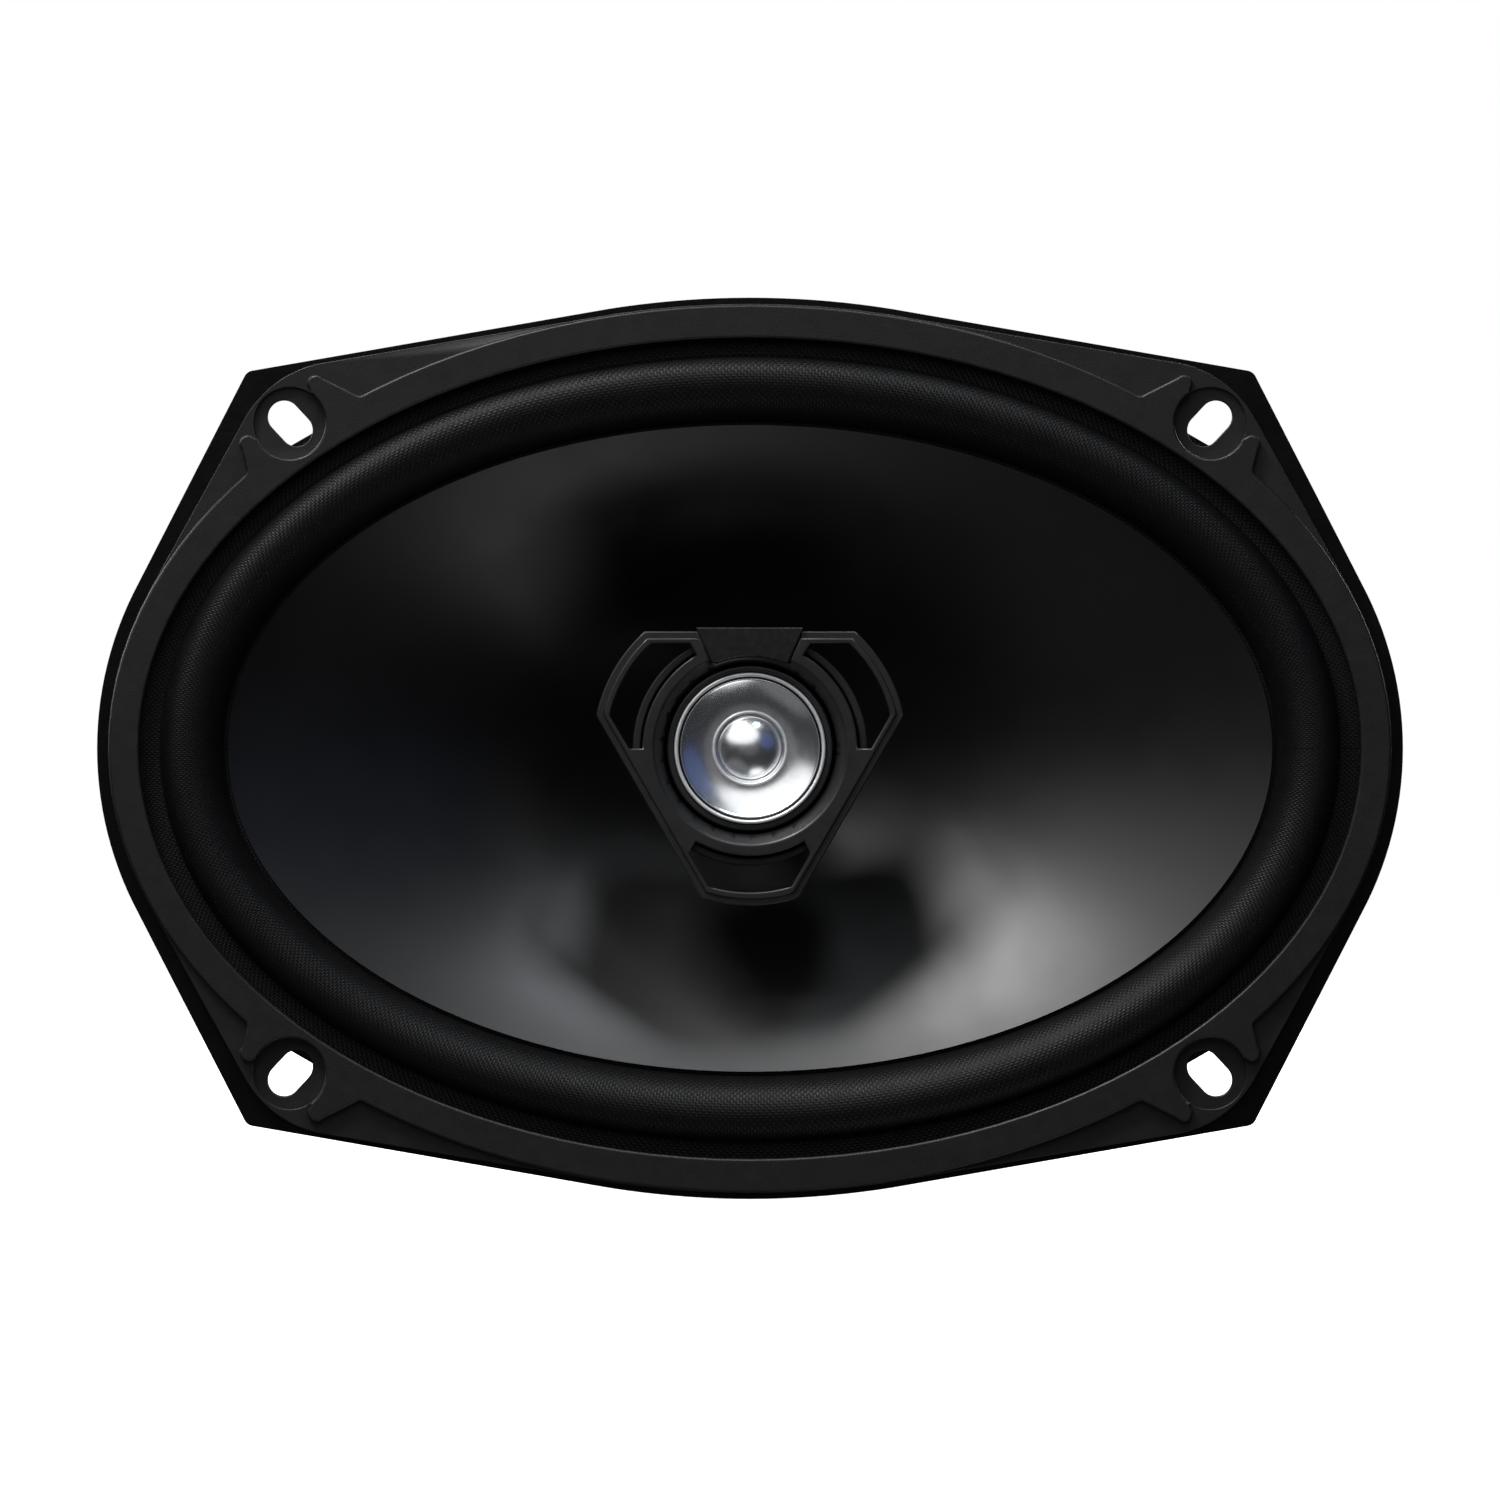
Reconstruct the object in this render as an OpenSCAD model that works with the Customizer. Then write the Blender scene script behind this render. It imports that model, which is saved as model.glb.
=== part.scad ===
// Oval coaxial car loudspeaker: stamped basket, oval cone and a post-mounted tweeter.
// The front faces -Y, the long axis is X and the origin is the centre of the flange's rear face.
// Every module works in a turned frame with z = 0 on the panel face and +z towards the listener;
// to_front() then stands the piece up.

/* [Flange] */
// Width of the flange over its rounded ends
flange_w = 235; // [233:0.5:236]
// Height of the flange over its crowns
flange_h = 162.2; // [161.6:0.2:163]
// Thickness of the basket's steel sheet
sheet_t = 1.2; // [1:0.1:1.3]
// Distance between screw slots along the width
slot_dx = 165.4; // [164.8:0.2:166]
// Distance between screw slots along the height
slot_dy = 116.9; // [116.5:0.1:117.3]
// Width of a screw slot
slot_w = 5.8; // [5.4:0.1:6]
// Length of a screw slot over its round ends
slot_l = 9.2; // [8.6:0.1:9.6]
// Angle of a screw slot from the width axis
slot_tilt = 47; // [44:1:50]

/* [Trim ring] */
// Height of the trim ring's raised oval band above the panel face
band_z = 5.8; // [5.2:0.1:6.4]
// Height of the trim ring's corner ears above the panel face
ear_z = 3.8; // [3.4:0.1:4.2]
// Height of the round screw recess floors above the panel face
recess_z = 2.6; // [2.4:0.1:2.8]
// Radius of the round screw recesses
recess_r = 6.45; // [6.2:0.05:6.7]

/* [Cone and surround] */
// Half width of the cone at its rim
cone_a = 94; // [93:0.5:95]
// Half height of the cone at its rim
cone_b = 58.2; // [57.6:0.2:58.8]
// Height of the cone's rim above the panel face
cone_rim_z = 0.6; // [0:0.1:0.8]
// Depth of the cone from its rim to its neck
cone_depth = 38; // [37:0.5:39]
// How much steeper the cone is at its neck than at its rim
cone_flare = 0.3; // [0.2:0.05:0.35]
// Thickness of the cone
cone_t = 0.8; // [0.6:0.1:1]
// Width of the surround's roll
roll_w = 13; // [12.6:0.1:13.2]
// Height of the surround's roll
roll_h = 5; // [4.5:0.1:5.5]
// Thickness of the surround
surround_t = 0.7; // [0.5:0.1:0.8]

/* [Motor] */
// Radius of the ferrite magnet
magnet_r = 42.5; // [41.5:0.5:44]
// Thickness of the ferrite magnet
magnet_t = 14; // [13:0.5:16]
// Radius of the top plate and of the yoke's back plate
plate_r = 40; // [38:0.5:40.5]
// Outer radius of the voice coil former
coil_r = 15.25; // [15.2:0.05:15.3]
// Height of the voice coil winding
winding_h = 9; // [7:0.5:10]

/* [Tweeter] */
// Height of the tweeter bracket's front above the panel face
bracket_z = 9; // [8.5:0.1:9.5]
// Distance from the centre to the bracket's flat sides
bracket_flat = 21; // [20.8:0.1:21.2]
// Radius of the bracket's rounded arm ends
bracket_tip_r = 28.25; // [28:0.05:28.5]
// Outer radius of the tweeter housing
housing_r = 21.1; // [20.9:0.1:21.3]
// Radius of the tweeter dome
dome_r = 5.3; // [5.1:0.1:5.4]

/* [Terminals] */
// Width of the positive blade
positive_w = 4.75; // [4.6:0.05:4.9]
// Width of the negative blade
negative_w = 2.8; // [2.6:0.1:3]
// Thickness of both blades
blade_t = 0.8; // [0.5:0.1:0.9]

/* [Hidden] */
$fn = 96;
oval_sides = 120;
soft_sides = 72;

// flange outline: two round ends, two flat crowns and four nearly sharp corners
end_r = 63;
crown_r = 162;
crown_half = 26.4;
corner = [89.2, 66];
corner_r = 2;

// ovals, as half width and half height
mouth = [107.3, 71.8];
lip = [113.6, 78.3];
lip_recess = [114, 78.7];
trim_opening = [109.7, 73.7];
trim_edge = [115.4, 79.9];
band = [115.2, 79.7];
cone_rim = [cone_a, cone_b];
roll_outer = [cone_a + roll_w, cone_b + roll_w + 0.3];

// surround's roll
roll_steps = 10;
glue_gap = 0.1;
roll_inner_z = cone_rim_z - cone_t - glue_gap - surround_t;
roll_outer_z = sheet_t + glue_gap;

// trim ring ears, and the two raised horns beside each screw recess
ear_at = [73.3, 49.6];
ear_r = 20;
upper_tip = [77.9, 65.5];
upper_root = [70.6, 63.5];
side_tip = [90.1, 54.7];
side_root = [90.4, 49.9];
tip_r = 1.6;
horn_fillet = 1.2;

// flat across the inner end of the steel's screw slots, as angle and distance from their centre
slot_flat = [60, 3.5];

// depths of the basket's steps
landing_z = -42;
base_z = -53;
shoulder_z = -6;
pan_rim_r = 53.1;
landing_r = 43.5;
base_r = 41.5;
base_hole_r = 19;
wall_foot = [52.4, 52.4];
// windows, as [centre angle, half angle]
windows = [[0, 15], [54, 23], [126, 23], [180, 15], [234, 23], [306, 23]];
window_inner = [58, 56];
window_outer = [98, 66.5];
window_corner_r = 3.5;

// motor stack, from the basket's base backwards
plate_t = 5;
yoke_t = 6;
plate_z = base_z - sheet_t;
magnet_z = plate_z - plate_t;
yoke_z = magnet_z - magnet_t;
rear_z = yoke_z - yoke_t;
pole_r = 14.6;
pole_top_z = base_z - 0.5;
gap_r = 16.6;
magnet_hole_r = 22;
rivet_ring_r = 31;
rivet_r = 1.6;
rivet_head_r = 3;
counterbore_r = 8.5;
counterbore_t = 4.5;

// cone neck and voice coil
neck_r = 15.7;
neck_z = cone_rim_z - cone_depth;
former_t = 0.25;
former_bottom_z = -61.8;
former_top_z = neck_z - 0.2;
winding_t = 0.7;
winding_z = -56.7 - winding_h / 2;
collar_h = 2.6;

// spider
spider_t = 0.5;
spider_waves = 5;
spider_wave_h = 1.5;
spider_inner_r = 19;
spider_outer_r = 42.7;
spider_rim_r = 50.5;
spider_mid_z = landing_z + 0.4;

// tweeter post and housing
post_r = 4.5;
post_hole_r = 2.2;
post_flange_r = 9;
post_flange_t = 2;
running_gap = 0.05;
housing_floor_z = -9;
housing_t = 1.5;
plate_back_z = bracket_z - 3;
bracket_hole_r = 15.2;
bracket_mouth_r = 17.3;
arms = [30, 150, 270];
window_r = [19.3, 25.8];
window_flat = 18.8;
window_half = 30;
bracket_bevel = 0.6;
badge = [6.9, 15.5, 9.7, 21.7];
badge_inner_r = 16.5;
badge_z = bracket_z + 0.4;

// tweeter motor and diaphragm
pot_r = 12;
pot_top_z = 1;
pot_bore_r = 7.3;
pot_floor_z = -5.3;
pole_plate_r = 6;
pole_plate_t = 2.2;
tweeter_coil_r = 6.6;
tweeter_coil_t = 0.35;
tweeter_coil_h = 4;
frame_r = 14.9;
frame_bore_r = 12.75;
frame_top_z = 6.1;
bezel_mid_r = 13.25;
bezel_half = 0.35;
dish_r = 12.2;
dish_inner_r = 6.8;
dish_rim_z = 5.4;
dish_low_z = 3.8;
groove_z = 3.5;
dome_h = 2.1;
film_t = 0.3;
coil_ring_mid_r = 6.5;
coil_ring_half = 0.3;

// terminal board, in the frame of the top arm's outer face
arm_mid = [0, 62.9, -24.9];
arm_slope = atan((mouth[1] - wall_foot[1]) / (shoulder_z - landing_z));
board = [24, 16, 1.6];
board_gap = 2.6;
board_top = board_gap + board[2];
blade_x = 6.5;
blade_from = -7.6;
blade_to = 14;
lead_slot = [18, 6];
lead_slot_at = -11;

// capacitor on the side of the magnet
capacitor_r = 3.3;
capacitor_h = 13;
capacitor_x = -8;
capacitor_y = sqrt(pow(magnet_r + capacitor_r + 0.1, 2) - pow(capacitor_x, 2));
capacitor_z = yoke_z - 0.5;

// lead routes, as [x, y, z] down the middle of each lead
lead_r = 0.7;
tinsel_r = 0.8;
lead_sides = 8;
tinsel_route = [[6.5, 71, -19.6], [6.6, 71, -17.2], [6.6, 68.6, -14.6], [6.6, 64, -14.4],
    [6.5, 58, -19], [6.3, 50, -26.5], [6, 40, -33], [5.6, 30, -36.4], [5, 22, -37.6],
    [4.6, 17.6, -38.6]];
capacitor_rear_route = [[-0.9, 0, -7], [-0.9, 0, -40], [-0.9, 0, -74], [-1, 0.6, -78.4],
    [-1.6, 3, -80.4], [-3.2, 12, -80.4], [-5.4, 26, -80.4], [-7.2, 38, -80.5],
    [-7.9, 43, -79.6], [-8, 45, -77], [-8, 45.2, -74.2]];
capacitor_front_route = [[-8, 45.2, -60.2], [-8, 46, -56], [-7, 49.6, -50.6],
    [-5, 54.6, -45.6], [-3.5, 58.6, -40.6], [-3.35, 62, -36.6], [-3.35, 65.4, -32.4],
    [-3.35, 66.6, -29.6], [-3.4, 68.6, -26.2], [-4, 70.4, -23.2], [-4.4, 71.6, -20.8]];
plain_route = [[0.9, 0, -7], [0.9, 0, -40], [0.9, 0, -74], [1, 0.6, -78.4],
    [1.4, 3, -80.4], [2, 12, -80.4], [2.8, 26, -80.4], [3.3, 38, -80.5],
    [3.6, 42.6, -79.4], [3.7, 43.8, -76], [3.7, 43.8, -62], [3.7, 45, -56],
    [3.7, 49.6, -50.6], [3.6, 54.6, -45.6], [3.5, 58.6, -40.6], [3.6, 62, -36.6],
    [3.6, 65.4, -32.4], [3.6, 66.6, -29.6], [3.7, 68.6, -26.2], [4.4, 70.4, -23.2],
    [5.3, 71.6, -20.8]];

// colours
steel_black = "#131315";
plastic_black = "#1d1d1f";
silver = "#c9ccd0";
zinc = "#a8acb0";

// ---- shared shapes ----

module to_front() rotate([90, 0, 0]) children();

module four_corners()
    for (x = [0, 1], y = [0, 1]) mirror([x, 0, 0]) mirror([0, y, 0]) children();

module oval(size, sides = oval_sides)
    polygon([for (i = [0:sides - 1]) [size[0] * cos(360 * i / sides), size[1] * sin(360 * i / sides)]]);

// A closed section carried round an oval. Each section point is [blend, out, z]: blend runs from
// the near oval (0) to the far one (1), and out widens the result all round.
module oval_sweep(near, far, section, sides) {
    count = len(section);
    points = [for (i = [0:sides - 1], p = section)
        [(near[0] + (far[0] - near[0]) * p[0] + p[1]) * cos(360 * i / sides),
         (near[1] + (far[1] - near[1]) * p[0] + p[1]) * sin(360 * i / sides), p[2]]];
    function at(i, j) = (i % sides) * count + j % count;
    faces = [for (i = [0:sides - 1], j = [0:count - 1], half = [0, 1])
        half == 0 ? [at(i, j), at(i, j + 1), at(i + 1, j + 1)]
                  : [at(i, j), at(i + 1, j + 1), at(i + 1, j)]];
    polyhedron(points, faces);
}

module ring(outer, inner, low, high)
    translate([0, 0, low]) difference() {
        cylinder(r = outer, h = high - low);
        translate([0, 0, -1]) cylinder(r = inner, h = high - low + 2);
    }

module slot_outline(width, length)
    translate([slot_dx / 2, slot_dy / 2]) rotate(slot_tilt) {
        reach = (length - width) / 2;
        for (s = [-1, 1]) translate([s * reach, 0]) circle(r = width / 2);
        square([2 * reach, width], center = true);
    }

module steel_slot_outline() intersection() {
    slot_outline(slot_w, slot_l);
    translate([slot_dx / 2, slot_dy / 2]) rotate(slot_flat[0]) translate([slot_l - slot_flat[1], 0])
        square(2 * slot_l, center = true);
}

// A smooth curve through route points: the point at a whole-number step plus a fraction.
function route_point(route, i, f) =
    let (last = len(route) - 1,
         a = route[max(i - 1, 0)], b = route[i], c = route[min(i + 1, last)], d = route[min(i + 2, last)])
    0.5 * ((2 * b) + (c - a) * f + (2 * a - 5 * b + 4 * c - d) * f * f
        + (3 * b - a - 3 * c + d) * f * f * f);

// A round lead along a route that stays close to an upright plane, with two rings a step.
module lead(route, r) {
    path = [for (i = [0:len(route) - 2], f = [0, 0.5]) route_point(route, i, f), route[len(route) - 1]];
    last = len(path) - 1;
    points = [for (i = [0:last])
        let (t = path[min(i + 1, last)] - path[max(i - 1, 0)], along = t / norm(t),
             side = cross(along, [1, 0, 0]) / norm(cross(along, [1, 0, 0])),
             up = cross(along, side))
        for (k = [0:lead_sides - 1])
            path[i] + r * (side * cos(360 * k / lead_sides) + up * sin(360 * k / lead_sides))];
    function at(i, k) = i * lead_sides + k % lead_sides;
    walls = [for (i = [0:last - 1], k = [0:lead_sides - 1], half = [0, 1])
        half == 0 ? [at(i, k), at(i + 1, k + 1), at(i, k + 1)]
                  : [at(i, k), at(i + 1, k), at(i + 1, k + 1)]];
    start = [for (k = [0:lead_sides - 1]) k];
    end = [for (k = [lead_sides - 1:-1:0]) last * lead_sides + k];
    polyhedron(points, concat(walls, [start, end]));
}

// ---- basket ----

module flange_outline() hull() {
    for (x = [-1, 1], y = [-1, 1]) translate([x * corner[0], y * corner[1]]) circle(r = corner_r);
    for (x = [-1, 1]) translate([x * (flange_w / 2 - end_r), 0]) circle(r = end_r, $fn = 180);
    intersection() {
        translate([0, crown_r - flange_h / 2]) circle(r = crown_r, $fn = 360);
        translate([0, flange_h / 2 - crown_r]) circle(r = crown_r, $fn = 360);
        square([2 * crown_half, flange_h], center = true);
    }
}

module window_outline(centre, half) {
    far = 140;
    offset(r = window_corner_r) offset(delta = -window_corner_r) intersection() {
        difference() {
            oval(window_outer);
            oval(window_inner);
        }
        rotate(centre) polygon([[0, 0], [far * cos(half), -far * sin(half)],
            [far * cos(half), far * sin(half)]]);
    }
}

module on_arm() translate(arm_mid) rotate([-90 - arm_slope, 0, 0]) children();

module basket_wall() {
    foot_z = landing_z - 0.1;
    oval_sweep(wall_foot, mouth, [[1, 0.1, sheet_t / 2], [1, 0.1, shoulder_z], [0, 0, foot_z],
        [0, 0.6, foot_z - 0.9], [1, 1.1, shoulder_z - 1], [1, 1.3, sheet_t / 2]], oval_sides);
}

module basket_pan() {
    rotate_extrude() polygon([[pan_rim_r, landing_z], [landing_r, landing_z], [base_r, base_z],
        [base_hole_r, base_z], [base_hole_r, plate_z], [base_r + sheet_t, plate_z],
        [landing_r + sheet_t, landing_z - sheet_t], [pan_rim_r, landing_z - sheet_t]]);
}

module basket() color(steel_black) to_front() difference() {
    union() {
        linear_extrude(sheet_t) difference() {
            flange_outline();
            oval(mouth);
        }
        basket_wall();
        basket_pan();
    }
    four_corners() translate([0, 0, -1]) linear_extrude(sheet_t + 2) steel_slot_outline();
    for (w = windows) translate([0, 0, landing_z + 1]) linear_extrude(-landing_z - 8)
        window_outline(w[0], w[1]);
    on_arm() translate([0, lead_slot_at, 0]) cube([lead_slot[0], lead_slot[1], 12], center = true);
    for (a = [45:90:359]) rotate(a) translate([rivet_ring_r, 0, plate_z - 1]) cylinder(r = rivet_r, h = 3);
}

// ---- trim ring ----

module trim_outline() hull() {
    oval(trim_edge);
    for (x = [-1, 1], y = [-1, 1]) translate([x * ear_at[0], y * ear_at[1]]) circle(r = ear_r);
}

// Raised tongue from the oval band to a round tip, beside the screw recess. Its edge meets the
// tip just inside the circle, so the two cross cleanly.
module horn(tip, root, turn) {
    boss = [slot_dx / 2, slot_dy / 2];
    away = (tip - boss) / norm(tip - boss);
    edge = (tip - root) / norm(tip - root);
    side = turn * [-edge[1], edge[0]];
    translate(tip) circle(r = tip_r, $fn = 40);
    polygon([boss, tip - tip_r * away, tip + 0.96 * tip_r * side, root, 0.9 * root, 0.9 * boss]);
}

module band_outline()
    offset(r = -horn_fillet) offset(delta = horn_fillet) {
        oval(band);
        four_corners() {
            horn(upper_tip, upper_root, 1);
            horn(side_tip, side_root, -1);
        }
    }

module trim_ring() color(plastic_black) to_front() difference() {
    union() {
        translate([0, 0, sheet_t]) linear_extrude(ear_z - sheet_t) trim_outline();
        translate([0, 0, sheet_t]) linear_extrude(band_z - sheet_t) band_outline();
    }
    linear_extrude(band_z + 1) oval(trim_opening);
    translate([0, 0, sheet_t - 1]) linear_extrude(surround_t + 1.1) oval(lip_recess);
    four_corners() {
        translate([slot_dx / 2, slot_dy / 2, recess_z]) cylinder(r = recess_r, h = band_z);
        linear_extrude(band_z) slot_outline(slot_w, slot_l);
    }
}

// ---- cone, surround and spider ----

// Height of the cone's front face, from 0 at the neck to 1 at the rim
function cone_face_z(t) = neck_z + cone_depth * (t + cone_flare * t * (1 - t));

module cone() color("#0d0d0f") to_front() {
    steps = 7;
    front = [for (i = [0:steps]) [i / steps, 0, cone_face_z(i / steps)]];
    back = [for (i = [steps:-1:0]) [i / steps, 0, cone_face_z(i / steps) - cone_t]];
    bore = coil_r + running_gap - neck_r;
    collar = [[0, 0, neck_z - collar_h], [0, bore, neck_z - collar_h], [0, bore, neck_z]];
    oval_sweep([neck_r, neck_r], cone_rim, concat(front, back, collar), soft_sides);
}

// Half-round arch of the surround's roll, from the cone's rim (blend 0) to the lip (blend 1)
function roll_arch(half, height, lift) = [for (i = [0:roll_steps]) let (a = 180 * i / roll_steps)
    [0.5 - half * cos(a), 0,
        lift + height * sin(a) + roll_inner_z + (roll_outer_z - roll_inner_z) * (1 - cos(a)) / 2]];

// The surround's section runs from a flap glued under the cone's rim, over the half roll, to the
// lip glued on the flange.
module surround() color("#101011") to_front() {
    flap = -0.15;
    flap_z = cone_face_z(0.94) - cone_t - glue_gap - surround_t;
    lip_out = lip[0] - roll_outer[0];
    under = roll_arch(0.43, roll_h, 0);
    top = roll_arch(0.48, roll_h, surround_t);
    section = concat([[flap, 0, flap_z]], under,
        [[1, lip_out, roll_outer_z], [1, lip_out, roll_outer_z + surround_t]],
        [for (i = [roll_steps:-1:0]) top[i]], [[flap, 0, flap_z + surround_t]]);
    oval_sweep(cone_rim, roll_outer, section, soft_sides);
}

function wave_z(r) = spider_wave_h
    * sin(360 * spider_waves * (r - spider_inner_r) / (spider_outer_r - spider_inner_r));

module spider() color("#c9a24a") to_front() {
    steps = 50;
    span = spider_outer_r - spider_inner_r;
    mid = [for (i = [0:steps]) let (r = spider_inner_r + span * i / steps)
        [r, spider_mid_z + 0.3 + wave_z(r)]];
    path = concat([[coil_r + 0.1, spider_mid_z + 0.3]], mid, [[spider_rim_r, spider_mid_z + 0.3]]);
    low = [for (p = path) [p[0], p[1] - spider_t / 2]];
    high = [for (i = [len(path) - 1:-1:0]) [path[i][0], path[i][1] + spider_t / 2]];
    rotate_extrude() polygon(concat(low, high));
}

module dust_ring() color("#18181a") to_front() {
    rise = 3;
    rotate_extrude() polygon([[post_r + 1.6, neck_z + rise], [neck_r - 0.4, neck_z + 0.1],
        [neck_r + 0.1, neck_z + 0.6], [post_r + 1.6, neck_z + rise + 0.5]]);
}

module voice_coil_former() color("#b9b4a6") to_front()
    ring(coil_r, coil_r - former_t, former_bottom_z, former_top_z);

module voice_coil_winding() color("#8a4b22") to_front()
    ring(coil_r + winding_t, coil_r + 0.01, winding_z, winding_z + winding_h);

// ---- motor ----

module top_plate() color(zinc) to_front() difference() {
    ring(plate_r, gap_r, magnet_z, plate_z);
    for (a = [45:90:359]) rotate(a) translate([rivet_ring_r, 0, magnet_z - 1])
        cylinder(r = rivet_r, h = plate_t + 2);
}

module ferrite_magnet() color("#2b2a2a") to_front()
    ring(magnet_r, magnet_hole_r, yoke_z, magnet_z);

module t_yoke() color(zinc) to_front() difference() {
    union() {
        translate([0, 0, rear_z]) cylinder(r = plate_r, h = yoke_t);
        translate([0, 0, rear_z]) cylinder(r = pole_r, h = pole_top_z - rear_z);
    }
    translate([0, 0, rear_z - 1]) cylinder(r = post_r + running_gap, h = pole_top_z - rear_z + 2);
    translate([0, 0, rear_z - 1]) cylinder(r = counterbore_r, h = counterbore_t + 1);
}

module basket_rivets() color(zinc) to_front()
    for (a = [45:90:359]) rotate(a) translate([rivet_ring_r, 0, 0]) {
        translate([0, 0, magnet_z + 0.1]) cylinder(r = rivet_r - running_gap, h = base_z - magnet_z);
        translate([0, 0, base_z]) cylinder(r = rivet_head_r, h = 1.2);
    }

// ---- tweeter ----

module tweeter_post() color(plastic_black) to_front() difference() {
    post_end_z = rear_z + 0.9;
    union() {
        translate([0, 0, post_end_z]) cylinder(r = post_r, h = housing_floor_z - post_end_z);
        translate([0, 0, housing_floor_z - post_flange_t]) cylinder(r = post_flange_r, h = post_flange_t);
    }
    translate([0, 0, post_end_z - 1]) cylinder(r = post_hole_r, h = housing_floor_z - post_end_z + 2);
}

module post_nut() color(silver) to_front() {
    nut_t = 3;
    nut_z = rear_z + counterbore_t - nut_t;
    translate([0, 0, nut_z]) difference() {
        cylinder(r = 6.6, h = nut_t, $fn = 6);
        translate([0, 0, -1]) cylinder(r = post_r + running_gap, h = nut_t + 2);
    }
}

module tweeter_housing() color(plastic_black) to_front() difference() {
    translate([0, 0, housing_floor_z]) cylinder(r = housing_r, h = plate_back_z - housing_floor_z);
    translate([0, 0, housing_floor_z + housing_t])
        cylinder(r = housing_r - housing_t, h = plate_back_z - housing_floor_z);
    translate([0, 0, housing_floor_z - 1]) cylinder(r = post_hole_r, h = housing_t + 2);
}

// Triangle with its flat sides at this distance, one of them on top
module triangle(flat) rotate(30) circle(r = 2 * flat, $fn = 3);

module bracket_outline(inset)
    intersection() {
        triangle(bracket_flat - inset);
        circle(r = bracket_tip_r - inset);
    }

module bracket_window(direction)
    intersection() {
        difference() {
            circle(r = window_r[1]);
            circle(r = window_r[0]);
        }
        triangle(window_flat);
        rotate(direction) polygon([[0, 0], [60 * cos(window_half), -60 * sin(window_half)],
            [60 * cos(window_half), 60 * sin(window_half)]]);
    }

module tweeter_bracket() color(plastic_black) to_front() difference() {
    union() {
        translate([0, 0, plate_back_z]) linear_extrude(bracket_z - bracket_bevel - plate_back_z)
            bracket_outline(0);
        translate([0, 0, plate_back_z]) linear_extrude(bracket_z - plate_back_z) bracket_outline(1.2);
    }
    for (a = arms) translate([0, 0, plate_back_z - 1]) linear_extrude(bracket_z) bracket_window(a);
    translate([0, 0, plate_back_z - 1]) cylinder(r = bracket_hole_r, h = bracket_z);
    translate([0, 0, plate_back_z])
        cylinder(r1 = bracket_hole_r, r2 = bracket_mouth_r + 0.01, h = bracket_z - plate_back_z + 0.01);
    translate([0, 0, bracket_z - 1]) linear_extrude(2) badge_outline(0.1);
}

module badge_outline(grow)
    intersection() {
        polygon([[-badge[0] - grow, badge[1]], [badge[0] + grow, badge[1]],
            [badge[2] + grow, badge[3]], [-badge[2] - grow, badge[3]]]);
        difference() {
            translate([-20, 0]) square([40, badge[3]]);
            circle(r = badge_inner_r - grow);
        }
    }

module badge_plate() color("#111112") to_front()
    translate([0, 0, bracket_z - 1]) linear_extrude(badge_z - bracket_z + 1) badge_outline(0);

module tweeter_pot() color(zinc) to_front() difference() {
    floor_z = housing_floor_z + housing_t;
    translate([0, 0, floor_z]) cylinder(r = pot_r, h = pot_top_z - floor_z);
    translate([0, 0, pot_floor_z]) cylinder(r = pot_bore_r, h = pot_top_z - pot_floor_z + 1);
    translate([0, 0, floor_z - 1]) cylinder(r = post_hole_r, h = 1.6);
}

module tweeter_magnet() color("#8f9296") to_front()
    translate([0, 0, pot_floor_z])
        cylinder(r = pole_plate_r - 0.4, h = pot_top_z - pole_plate_t - pot_floor_z);

module tweeter_pole_plate() color(zinc) to_front()
    translate([0, 0, pot_top_z - pole_plate_t]) cylinder(r = pole_plate_r, h = pole_plate_t);

module tweeter_frame() color(plastic_black) to_front()
    rotate_extrude() polygon([[pot_bore_r + 1, pot_top_z], [frame_r, pot_top_z], [frame_r, frame_top_z],
        [frame_bore_r, frame_top_z], [frame_bore_r, pot_top_z + 1], [pot_bore_r + 1, pot_top_z + 1]]);

module tweeter_bezel_ring() color(silver) to_front()
    rotate_extrude() translate([bezel_mid_r, frame_top_z]) intersection() {
        circle(r = 2 * bezel_half);
        translate([-bezel_half, 0]) square([2 * bezel_half, 1]);
    }

// Concave dish from its rim down to the coil ring
function dish_z(r) = dish_low_z
    + (dish_rim_z - dish_low_z) * pow((r - dish_inner_r) / (dish_r - dish_inner_r), 1.8);

module tweeter_diaphragm() color(silver) to_front() {
    steps = 10;
    cap_r = (dome_r * dome_r + dome_h * dome_h) / (2 * dome_h);
    dome = [for (i = [0:steps]) let (r = dome_r * i / steps)
        [r, groove_z + dome_h - cap_r + sqrt(cap_r * cap_r - r * r)]];
    dish = [for (i = [0:steps])
        let (r = dish_inner_r + (dish_r - dish_inner_r) * i / steps) [r, dish_z(r)]];
    groove = [[dome_r + 0.7, groove_z], [dome_r + 0.8, dish_low_z]];
    top = concat(dome, groove, dish, [[dish_r + 0.4, dish_rim_z + 0.1]]);
    under = [for (i = [len(top) - 1:-1:0]) [top[i][0], top[i][1] - film_t]];
    rotate_extrude() polygon(concat(top, under));
}

module tweeter_coil_ring() color(silver) to_front()
    rotate_extrude() translate([coil_ring_mid_r, dish_low_z]) intersection() {
        circle(r = coil_ring_half);
        translate([-1, 0]) square([2, 1]);
    }

module tweeter_voice_coil() color("#8a4b22") to_front()
    ring(tweeter_coil_r, tweeter_coil_r - tweeter_coil_t, dish_low_z - film_t - tweeter_coil_h,
        dish_low_z - film_t);

// ---- terminals and leads ----

module terminal_board() color("#26211c") to_front() on_arm() difference() {
    union() {
        translate([-board[0] / 2, -board[1] / 2, board_gap]) cube(board);
        translate([0, 3, 0.2]) cylinder(r = 3.5, h = board_gap);
    }
    translate([0, 3, -1]) cylinder(r = 1.5 + running_gap, h = 8);
    for (x = [-1, 1]) translate([x * blade_x, -4, 0]) cylinder(r = 1 + running_gap, h = 8);
}

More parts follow.
